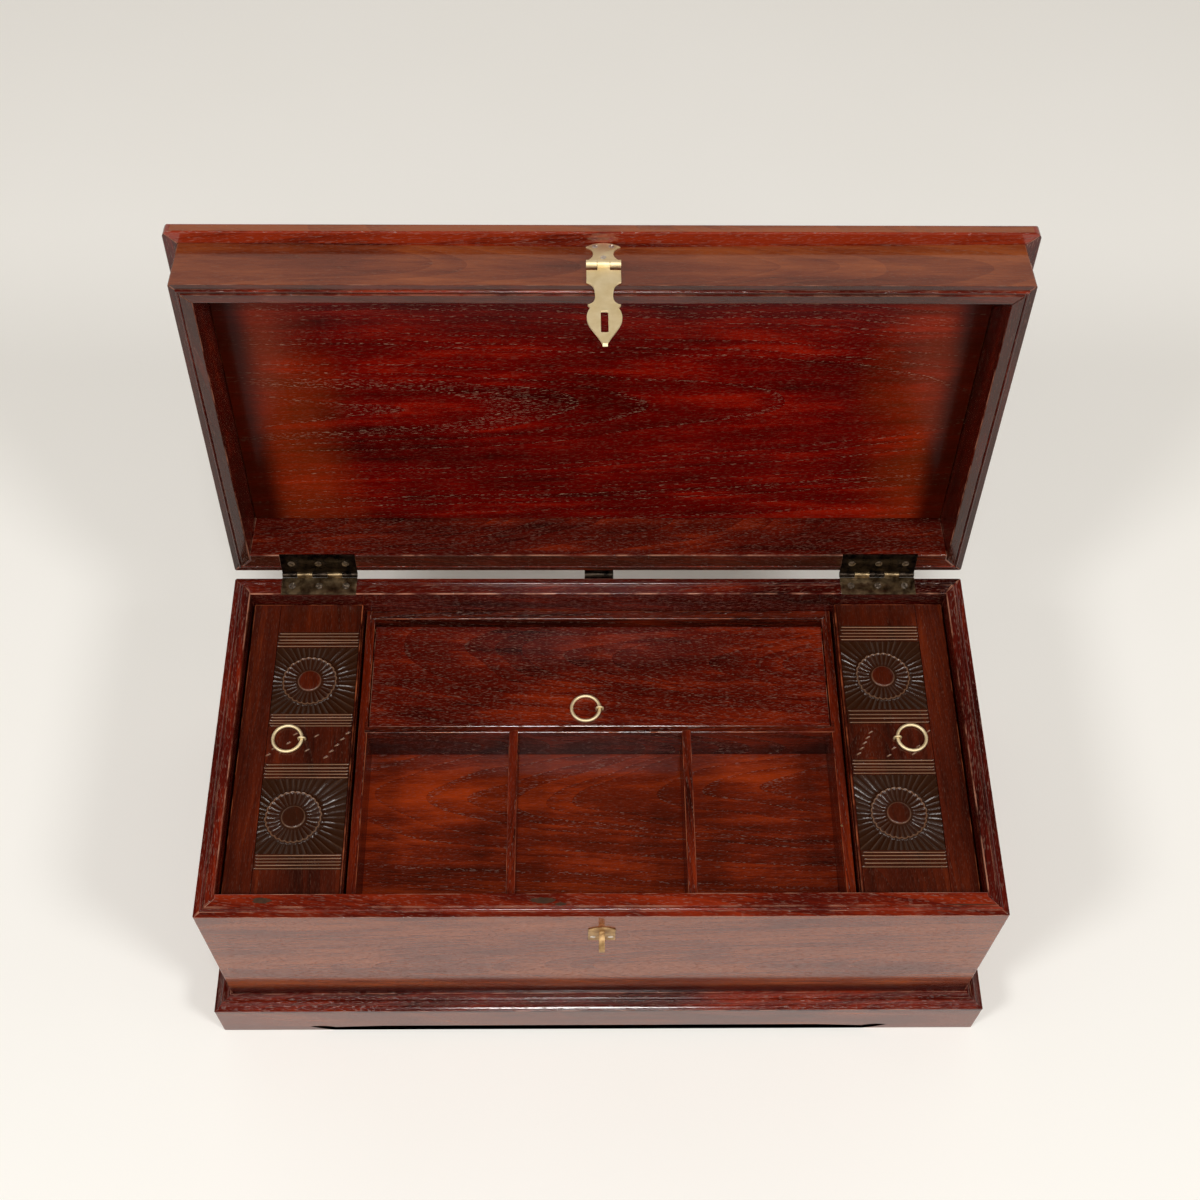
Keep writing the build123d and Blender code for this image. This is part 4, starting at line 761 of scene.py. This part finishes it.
def carve_square(x_low, x_high, y_low, y_high, centre, disc_glaze, sizes, seed):
    """A square of carving: a plain disc, fluted petals with scalloped ends, and rays to the border.
    It is one circle, widened ring by ring to the square's border, and then its skirt."""
    spokes = 336
    bm = bmesh.new()
    carve, crest = add_layers(bm)
    ragged = random.Random(seed)
    jitter = [ragged.uniform(-1, 1) for _ in range(sizes.rays)]
    petal_jitter = [ragged.uniform(-1, 1) for _ in range(sizes.petals)]
    depth = sizes.carving_depth
    disc, rim = sizes.disc_radius, sizes.petal_radius
    # width of the disc's rounded edge, and of the steps beside the disc and beyond the petals
    disc_round, disc_foot, petal_foot = 0.0012, 0.0007, 0.0009

    def border(angle):
        reach_x = (x_high - centre[0]) if cos(angle) > 0 else (centre[0] - x_low)
        reach_y = (y_high - centre[1]) if sin(angle) > 0 else (centre[1] - y_low)
        return min(reach_x / max(1e-6, abs(cos(angle))), reach_y / max(1e-6, abs(sin(angle))))

    corners = {}
    for x in (x_low, x_high):
        for y in (y_low, y_high):
            angle = atan2(y - centre[1], x - centre[0]) % (2 * pi)
            corners[round(angle / (2 * pi) * spokes) % spokes] = (x, y)

    def petal_edge(angle):
        share = angle / (2 * pi) * sizes.petals
        return rim - 0.0007 + 0.0012 * trough(share) + 0.0003 * petal_jitter[int(share) % sizes.petals]

    def surface(angle, radius):
        """Height below the plain wood, glaze, and crest rub with painted highlight at one point."""
        ray_share = angle / (2 * pi) * sizes.rays
        petal = trough(angle / (2 * pi) * sizes.petals)
        ray = trough(ray_share)
        ray_jitter = jitter[int(ray_share) % sizes.rays]
        if radius <= disc:
            drop = smooth_step(disc - disc_round, disc, radius)
            # the pale rounded edge of the disc is a painted highlight
            return -0.0001 - 0.0005 * drop, disc_glaze, 0.25 * drop
        edge = petal_edge(angle)
        if radius <= edge:
            part = (radius - disc) / (edge - disc)
            level = -depth * (0.95 - 0.62 * part)
            scoop = smooth_step(0.02, 0.35, part) * (1.0 - smooth_step(0.86, 1.0, part))
            height = level - GOUGE_DEPTH * petal * scoop
            # pale ridges between the flutes are rubbed crests with a painted highlight; the pale lip of the petals
            # is a painted highlight
            ridge = (1.0 - smooth_step(0.0, 0.22, petal)) * scoop
            lip = smooth_step(0.90, 0.97, part)
            return height, 0.90 - 0.25 * lip, 0.14 * ridge + 0.36 * lip
        out = (radius - edge) / max(1e-6, border(angle) - edge)
        drop = smooth_step(0.0, 0.0007, radius - edge)
        level = -depth * (0.33 + 0.62 * drop) * (1.0 - out) - 0.00035 * out
        cut = smooth_step(0.0, 0.15, out) * (GOUGE_DEPTH + 0.0002 * ray_jitter)
        # pale ridges between the rays are rubbed crests with a painted highlight
        ridge = (1.0 - smooth_step(0.0, 0.25, ray)) * smooth_step(0.1, 0.4, out)
        return level - cut * ray, 1.0, 0.10 * ridge * (0.6 + 0.4 * ray_jitter)

    inner = [0.003, 0.006, 0.0085, disc - disc_round, disc - 0.0005, disc, disc + disc_foot]
    inner_ring = bmesh.ops.create_circle(bm, cap_ends=True, cap_tris=True, segments=spokes, radius=inner[0])
    angles = [2 * pi * i / spokes for i in range(spokes)]
    for vert in inner_ring["verts"]:
        vert.co.z = -0.0001
        vert[carve], vert[crest] = disc_glaze, 0.0
    stations = [("r", r) for r in inner[1:]] + [("p", i / 9) for i in range(1, 9)]
    stations += [("p", 0.94), ("p", 0.975), ("p", 1.0), ("e", 0.0004), ("e", petal_foot)]
    stations += [("b", t) for t in (0.08, 0.16, 0.26, 0.36, 0.47, 0.58, 0.69, 0.8, 0.9, 1.0)]
    edges = [e for e in bm.edges if e.is_boundary]
    for kind, value in stations + [("skirt", 0)]:
        made = bmesh.ops.extrude_edge_only(bm, edges=edges)["geom"]
        fresh = verts_of(made)
        edges = [e for e in edges_of(made) if e.is_boundary]
        fresh.sort(key=lambda v: atan2(v.co.y, v.co.x) % (2 * pi))
        # the new ring starts on the old one, so it has the same order around
        for i, vert in enumerate(fresh):
            angle = angles[i]
            edge = petal_edge(angle)
            if kind == "skirt":
                vert.co = Vector((last[i][0], last[i][1], -POCKET_DEPTH))
                vert[carve] = 1.0
                continue
            if kind == "r":
                radius = value
            elif kind == "p":
                radius = disc + disc_foot + (edge - disc - disc_foot) * value
            elif kind == "e":
                radius = edge + value
            else:
                radius = edge + petal_foot + (border(angle) - edge - petal_foot) * value
            height, glaze, rub_and_highlight = surface(angle, radius)
            point = (radius * cos(angle), radius * sin(angle))
            if kind == "b" and value == 1.0 and i in corners:
                point = (corners[i][0] - centre[0], corners[i][1] - centre[1])
            vert.co = Vector((point[0], point[1], height))
            vert[carve], vert[crest] = glaze, max(0.0, rub_and_highlight)
        last = [(v.co.x, v.co.y) for v in fresh]
    bmesh.ops.translate(bm, verts=bm.verts, vec=Vector((centre[0], centre[1], 0.0)))
    return bm


def carve_strip(x_low, x_high, y_low, y_high, step_x, step_y, cut):
    """A strip of board between two heights, worked by a cut that gives height, glaze and crest."""
    bm = bmesh.new()
    carve, crest = add_layers(bm)
    columns = max(2, round((x_high - x_low) / step_x))
    rows = max(2, round((y_high - y_low) / step_y))
    bmesh.ops.create_grid(bm, x_segments=columns, y_segments=rows, size=0.5)
    middle = Vector(((x_low + x_high) / 2, (y_low + y_high) / 2, 0.0))
    bmesh.ops.scale(bm, verts=bm.verts, vec=Vector((x_high - x_low, y_high - y_low, 1.0)))
    bmesh.ops.translate(bm, verts=bm.verts, vec=middle)
    for vert in bm.verts:
        height, glaze, rub_and_highlight = cut(vert.co.x, vert.co.y)
        vert.co.z = height
        vert[carve], vert[crest] = glaze, rub_and_highlight
    edges = [e for e in bm.edges if e.is_boundary]
    for vert in verts_of(bmesh.ops.extrude_edge_only(bm, edges=edges)["geom"]):
        vert.co.z = -POCKET_DEPTH
    return bm


def grooves_cut(x_low, x_high, y_low, y_high, count, width, seed):
    """Ribbed band: straight cuts across the strip, each a little longer or shorter than the next."""
    ragged = random.Random(seed)
    pitch = (y_high - y_low) / count
    cuts = []
    for i in range(count):
        cuts.append((y_low + (i + 0.5) * pitch + ragged.uniform(-0.00025, 0.00025),
                     x_low + ragged.uniform(0.0003, 0.0035), x_high - ragged.uniform(0.0003, 0.0020),
                     ragged.uniform(-0.0003, 0.0003)))

    def cut(x, y):
        height, pale = 0.0, 0.0
        for middle, start, end, slant in cuts:
            away = abs(y - middle - slant * (x - x_low) / (x_high - x_low))
            begun = smooth_step(start - 0.001, start + 0.0008, x)
            reach = begun * (1 - smooth_step(end - 0.0008, end + 0.001, x))
            vee = max(0.0, 1.0 - away / (width / 2))
            height = min(height, -GOUGE_DEPTH * vee * reach)
            # the pale walls of the cuts are rubbed finish with a painted highlight
            pale = max(pale, smooth_step(0.25, 0.8, vee) * reach)
        return height, 0.60, pale
    return cut


def metres(lengths):
    return tuple(value / 1000 for value in lengths)


def nicks_cut(rows):
    """Plain wood with short gouge nicks along slanting lines; each row is start and end in millimetres,
    and a count."""
    # a nick's half length, half width and depth, how far it bends, and where it surely has ended
    half_length, half_width, depth, curve, reach = 0.0030, 0.0009, 0.0010, 18.0, 0.005
    marks = []
    for start, end, count in rows:
        a, b = Vector(metres(start)), Vector(metres(end))
        along = (b - a).normalized()
        for i in range(count):
            at = a.lerp(b, i / max(1, count - 1))
            marks.append((at, Vector((along.x * 0.75 + 0.45, along.y * 0.55)).normalized()))

    def cut(x, y):
        height, pale = 0.0, 0.0
        for at, along in marks:
            dx, dy = x - at.x, y - at.y
            if abs(dx) > reach or abs(dy) > reach:
                continue
            run = dx * along.x + dy * along.y
            side = -dx * along.y + dy * along.x + curve * run * run
            part = max(0.0, 1.0 - (run / half_length) ** 2) * max(0.0, 1.0 - abs(side) / half_width)
            height = min(height, -depth * part)
            pale = max(pale, min(1.0, 1.3 * part) * 0.75)
        return height, 0.12, pale
    return cut


def plain_cut(x, y):
    return 0.0, 0.1, 0.0


# Carcass millimetres: a strip's x limits, then its bands from front to back with their y limits. A
# ribbed band has its number of cuts, and a square its middle and how dark the glaze of its disc is.
LID_STRIPS = {
    "left": ((-331.7, -248.4), (
        ("plain", -161.3, -134.0),
        ("grooves", -134.0, -117.3, 5),
        ("square", -117.3, -37.6, (-298.6, -77.9), 0.75),
        ("grooves", -37.6, -20.6, 5),
        ("nicks", -20.6, 20.0, (((-316, -8), (-304, 12), 3), ((-291, -6), (-283, 10), 2),
                                ((-272, -14), (-252, 13), 5), ((-329, -11), (-324, -4), 2))),
        ("grooves", 20.0, 35.2, 5),
        ("square", 35.2, 112.2, (-295.3, 73.9), 0.0),
        ("grooves", 112.2, 131.2, 5),
        ("plain", 131.2, 163.3))),
    "right": ((249.2, 331.2), (
        ("plain", -161.3, -134.0),
        ("grooves", -134.0, -115.0, 5),
        ("square", -115.0, -34.2, (290.6, -75.1), 0.4),
        ("grooves", -34.2, -17.0, 5),
        ("nicks", -17.0, 22.4, (((257, -11), (271, 13), 5), ((287, -13), (298, 3), 3),
                                ((312, -11), (317, -3), 2), ((326, 6), (329, 14), 2))),
        ("grooves", 22.4, 39.6, 4),
        ("square", 39.6, 119.5, (290.0, 78.5), 0.1),
        ("grooves", 119.5, 138.6, 5),
        ("plain", 138.6, 163.3))),
}


# sizes of a strip's faces along x and y, fine enough for its cuts
GROOVE_STEPS = (0.0012, 0.00033)
NICK_STEPS = (0.0005, 0.0005)
PLAIN_STEPS = (0.01, 0.01)


def lid_board(low, high, x_low, x_high):
    """A till lid's board in carcass metres, sunk between two places along x where its carving lies."""
    y_low, y_high, slack = -0.1615, 0.1635, 0.0001
    board = bmesh.new()
    arris = board.faces.layers.float.new("arris")
    bmesh.ops.create_cube(board, size=1.0)
    bmesh.ops.scale(board, verts=board.verts, vec=high - low)
    bmesh.ops.translate(board, verts=board.verts, vec=(low + high) / 2)
    for point, normal in (((x_low, 0, 0), (1, 0, 0)), ((x_high, 0, 0), (1, 0, 0)),
                          ((0, y_low, 0), (0, 1, 0)), ((0, y_high, 0), (0, 1, 0))):
        bmesh.ops.bisect_plane(board, geom=everything(board), plane_co=point, plane_no=normal)
    middle = [f for f in board.faces if f.normal.z > 0.9
              and x_low - slack < f.calc_center_median().x < x_high + slack
              and y_low - slack < f.calc_center_median().y < y_high + slack]
    sunk = bmesh.ops.extrude_face_region(board, geom=middle)["geom"]
    bmesh.ops.delete(board, geom=middle, context="FACES_ONLY")
    bmesh.ops.translate(board, verts=verts_of(sunk), vec=Vector((0, 0, -POCKET_DEPTH)))

    def outermost(vert):
        x, y = vert.co.x, vert.co.y
        return min(abs(x - low.x), abs(x - high.x), abs(y - low.y), abs(y - high.y)) < 1e-5

    outer = [e for e in sharp_edges(board, 60) if all(outermost(v) for v in e.verts)]
    lid_arris = 0.0012
    round_edges(board, outer, lid_arris, 3, arris)
    bmesh.ops.transform(board, matrix=FROM_CARCASS, verts=board.verts)
    return board


def lid_carving(bands, x_low, x_high, side, sizes, level):
    """The carving of one lid, made band by band, with the plain wood at a level in carcass metres."""
    whole = bpy.data.meshes.new("carving")
    gathered = bmesh.new()
    for number, (kind, front, back, *form) in enumerate(bands):
        area = (x_low, x_high, *metres((front, back)))
        seed = f"{side}{number}"
        if kind == "square":
            tile = carve_square(*area, metres(form[0]), form[1], sizes, seed)
        elif kind == "grooves":
            tile = carve_strip(*area, *GROOVE_STEPS, grooves_cut(*area, form[0], sizes.groove, seed))
        elif kind == "nicks":
            tile = carve_strip(*area, *NICK_STEPS, nicks_cut(form[0]))
        else:
            tile = carve_strip(*area, *PLAIN_STEPS, plain_cut)
        bmesh.ops.recalc_face_normals(tile, faces=tile.faces)
        if sum(f.normal.z * f.calc_area() for f in tile.faces) < 0:
            bmesh.ops.reverse_faces(tile, faces=tile.faces)
        tile.to_mesh(whole)
        tile.free()
        gathered.from_mesh(whole)
    bpy.data.meshes.remove(whole)
    place = FROM_CARCASS @ Matrix.Translation((0, 0, level))
    bmesh.ops.transform(gathered, matrix=place, verts=gathered.verts)
    return gathered


class CHEST_OT_till_lids(bpy.types.Operator):
    """The two loose till lids with their carved strips"""
    bl_idname = "chest.till_lids"
    bl_label = "Carved till lids"

    def execute(self, context):
        sizes = context.scene.chest_sizes
        stain, fit = 0.35, 0.0005
        for side, (limits, bands) in LID_STRIPS.items():
            node = f"{side}_till_lid"
            low, high = [TO_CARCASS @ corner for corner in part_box(node)]
            x_low, x_high = metres(limits)
            grain = grain_frame(node, "Y", False)
            board = lid_board(low, high, x_low - fit, x_high + fit)
            write_grain(board, grain, stain)
            replace_node(board, node + "_board", carved_teak, node)
            carving = lid_carving(bands, x_low, x_high, side, sizes, high.z)
            write_grain(carving, grain, stain)
            piece = finish_piece(carving, node + "_carving", carved_teak, body_of(node),
                                 smooth=True)
            shade_by_angle(piece, 50)
        return {"FINISHED"}


# ---------------------------------------------------------------- metal pieces
def metal_copy(node, maker, width):
    """A fitting's own shape with its sheared edges filed."""
    bm = node_mesh(node)
    round_edges(bm, sharp_edges(bm, 35), width)
    shade_by_angle(replace_node(bm, node + "_metal", maker, node, smooth=True), 30)


def screw_head(radius):
    """A slotted countersunk head, whose top stands a little proud of z = 0."""
    proud = 0.00005
    depth = radius * 0.48
    half_slot = radius * 0.15
    head = bmesh.new()
    bmesh.ops.create_cone(head, cap_ends=True, segments=40, radius1=radius * 0.52, radius2=radius,
                          depth=depth)
    bmesh.ops.translate(head, verts=head.verts, vec=Vector((0, 0, proud - depth / 2)))
    for side in (-1, 1):
        bmesh.ops.bisect_plane(head, geom=everything(head), plane_co=(0, side * half_slot, 0),
                               plane_no=(0, 1, 0))
    slot = [f for f in head.faces if f.normal.z > 0.9 and abs(f.calc_center_median().y) < half_slot * 0.5]
    made = bmesh.ops.extrude_face_region(head, geom=slot)["geom"]
    bmesh.ops.delete(head, geom=slot, context="FACES_ONLY")
    bmesh.ops.translate(head, verts=verts_of(made), vec=Vector((0, 0, -radius * 0.3)))
    top = [e for e in head.edges
           if all(v.co.z > proud - 1e-6 and v.co.length > radius * 0.97 for v in e.verts)]
    round_edges(head, top, radius * 0.05, clamp=True)
    bmesh.ops.recalc_face_normals(head, faces=head.faces)
    return head


def screw_heads(node, maker, normal, radius, turns):
    """The heads of a node's screws, each turned its own way; normal points out of the wood."""
    bm = bmesh.new()
    mesh = bpy.data.meshes.new("head")
    normal = Vector(normal).normalized()
    stand = normal.to_track_quat("Z", "Y").to_matrix().to_4x4()
    for solid, turn in zip(islands(node), turns):
        # the head sits on the flat top of its own screw
        top = max(corner.dot(normal) for corner in solid)
        rim = [corner for corner in solid if corner.dot(normal) > top - 0.00002]
        seat = Matrix.Translation(sum(rim, Vector()) / len(rim))
        head = screw_head(radius)
        spin = Matrix.Rotation(radians(turn), 4, "Z")
        bmesh.ops.transform(head, matrix=seat @ stand @ spin, verts=head.verts)
        head.to_mesh(mesh)
        head.free()
        bm.from_mesh(mesh)
    bpy.data.meshes.remove(mesh)
    shade_by_angle(replace_node(bm, node + "_heads", maker, node, smooth=True), 25)


class CHEST_OT_fittings(bpy.types.Operator):
    """Hasp, staple, hinges, lid stop and their screws"""
    bl_idname = "chest.fittings"
    bl_label = "Fittings"

    def execute(self, context):
        for node, maker, width in (
            ("hasp_plate", yellow_brass, 0.0002),
            ("hasp_strap", yellow_brass, 0.0003),
            ("staple", tarnished_brass, 0.00025),
            ("hasp_pin", yellow_brass, 0.0003),
            ("hinge_left_body_leaf", rubbed_steel, 0.0002),
            ("hinge_left_lid_leaf", blackened_steel, 0.0002),
            ("hinge_right_body_leaf", rubbed_steel, 0.0002),
            ("hinge_right_lid_leaf", blackened_steel, 0.0002),
            ("hinge_pins", rubbed_steel, 0.0003),
            ("lid_stop", blackened_steel, 0.0003),
        ):
            metal_copy(node, maker, width)
        open_lid = CLOSE_LID.to_3x3().inverted()
        lid_down = open_lid @ Vector((0, 0, -1))
        lid_front = open_lid @ Vector((0, -1, 0))
        hinge_screw, small_screw = 0.0037, 0.0027
        screw_heads("hinge_body_screws", worn_screw, (0, 0, 1), hinge_screw, (70, 15, -20, 10, 35, -60))
        screw_heads("hinge_lid_screws", worn_screw, lid_down, hinge_screw, (-35, 10, 5, 40, 0, 20))
        screw_heads("lid_stop_screws", blackened_steel, (0, 1, 0), small_screw, (20, 75))
        screw_heads("staple_screws", zinc_screw, (0, -1, 0), small_screw, (50, -30))
        screw_heads("hasp_screws", zinc_screw, lid_front, small_screw, (30, -40, 80))
        return {"FINISHED"}


def ring_mesh(radius, wire):
    """A closed ring of round wire, flat at z = 0 about the origin."""
    bm = bmesh.new()
    made = bmesh.ops.create_circle(bm, cap_ends=False, segments=16, radius=wire / 2)
    stand = Matrix.Translation((radius, 0, 0)) @ Matrix.Rotation(radians(90), 4, "X")
    bmesh.ops.transform(bm, matrix=stand, verts=made["verts"])
    bmesh.ops.spin(bm, geom=bm.verts[:] + bm.edges[:], cent=(0, 0, 0), axis=(0, 0, 1), angle=2 * pi,
                   steps=72, use_merge=True)
    bmesh.ops.remove_doubles(bm, verts=bm.verts, dist=1e-7)
    bmesh.ops.recalc_face_normals(bm, faces=bm.faces)
    return bm


# inner radius of the bend in which an eye's leg is clinched, and the length that lies flat after it
EYE_BEND = 0.0017
EYE_TOE = 0.005


def pull_out(bm, edges, shift):
    """Extrude a loop of edges by a shift; gives the new corners and the new loop."""
    made = bmesh.ops.extrude_edge_only(bm, edges=edges)["geom"]
    verts = verts_of(made)
    bmesh.ops.translate(bm, verts=verts, vec=Vector(shift))
    return verts, [e for e in edges_of(made) if all(v in verts for v in e.verts)]


def eye_mesh(radius, wire, drop):
    """A split eye: wire bent over the ring, its two legs down through the lid and clinched outward."""
    bm = bmesh.new()
    made = bmesh.ops.create_circle(bm, cap_ends=False, segments=14, radius=wire / 2)
    # the section starts at the right leg's top, facing down the leg
    bmesh.ops.translate(bm, verts=made["verts"], vec=Vector((radius, 0, 0)))
    start = bm.edges[:]
    arch = bmesh.ops.spin(bm, geom=bm.verts[:] + start, cent=(0, 0, 0), axis=(0, -1, 0), angle=pi, steps=18)
    for side, loop in ((1, start), (-1, edges_of(arch["geom_last"]))):
        verts, loop = pull_out(bm, loop, (0, 0, -drop))
        turn = bmesh.ops.spin(bm, geom=verts + loop, cent=(side * (radius + EYE_BEND), 0, -drop),
                              axis=(0, -side, 0), angle=pi / 2, steps=6)
        loop = pull_out(bm, edges_of(turn["geom_last"]), (side * EYE_TOE, 0, 0))[1]
        bmesh.ops.contextual_create(bm, geom=loop)
    bmesh.ops.remove_doubles(bm, verts=bm.verts, dist=1e-7)
    bmesh.ops.recalc_face_normals(bm, faces=bm.faces)
    return bm


class CHEST_OT_pull_rings(bpy.types.Operator):
    """Brass pull rings in their split eyes"""
    bl_idname = "chest.pull_rings"
    bl_label = "Pull rings"

    def execute(self, context):
        wire = context.scene.chest_sizes.ring_wire
        for side in ("left", "right", "tray"):
            low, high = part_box(f"{side}_ring")
            ring = ring_mesh((high.x - low.x - wire) / 2, wire)
            bmesh.ops.translate(ring, verts=ring.verts, vec=(low + high) / 2)
            replace_node(ring, f"{side}_pull_ring", yellow_brass, f"{side}_ring", smooth=True)
            level = (low.z + high.z) / 2
            low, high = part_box(f"{side}_ring_eye")
            middle = (low + high) / 2
            eye_wire = high.y - low.y
            drop = level - (low.z + eye_wire / 2 + EYE_BEND)
            eye = eye_mesh(high.z - level - eye_wire / 2, eye_wire, drop)
            bmesh.ops.translate(eye, verts=eye.verts, vec=Vector((middle.x, middle.y, level)))
            replace_node(eye, f"{side}_split_eye", yellow_brass, f"{side}_ring_eye", smooth=True)
        return {"FINISHED"}


# ---------------------------------------------------------------- panel and registration
STEPS = ("stage", "carcass", "lid_frame", "tills", "tray", "mends", "till_lids", "fittings", "pull_rings")


class CHEST_PT_panel(bpy.types.Panel):
    """Lists the chest's pieces and its sizes and colours"""
    bl_idname = "CHEST_PT_panel"
    bl_label = "Dowry chest"
    bl_space_type = "VIEW_3D"
    bl_region_type = "UI"
    bl_category = "Chest"

    def draw(self, context):
        for group in (context.scene.chest_sizes, context.scene.chest_colours):
            for name in group.bl_rna.properties.keys():
                if name not in {"rna_type", "name"}:
                    self.layout.prop(group, name)
        for step in STEPS:
            self.layout.operator("chest." + step)


CLASSES = (ChestSizes, ChestColours, CHEST_OT_stage, CHEST_OT_carcass, CHEST_OT_lid_frame, CHEST_OT_tills,
           CHEST_OT_tray, CHEST_OT_mends, CHEST_OT_till_lids, CHEST_OT_fittings, CHEST_OT_pull_rings,
           CHEST_PT_panel)


def register():
    for cls in CLASSES:
        bpy.utils.register_class(cls)
    bpy.types.Scene.chest_sizes = PointerProperty(type=ChestSizes)
    bpy.types.Scene.chest_colours = PointerProperty(type=ChestColours)


def unregister():
    del bpy.types.Scene.chest_colours
    del bpy.types.Scene.chest_sizes
    for cls in reversed(CLASSES):
        bpy.utils.unregister_class(cls)


def main():
    register()
    for step in STEPS:
        getattr(bpy.ops.chest, step)()


if __name__ == "__main__":
    main()
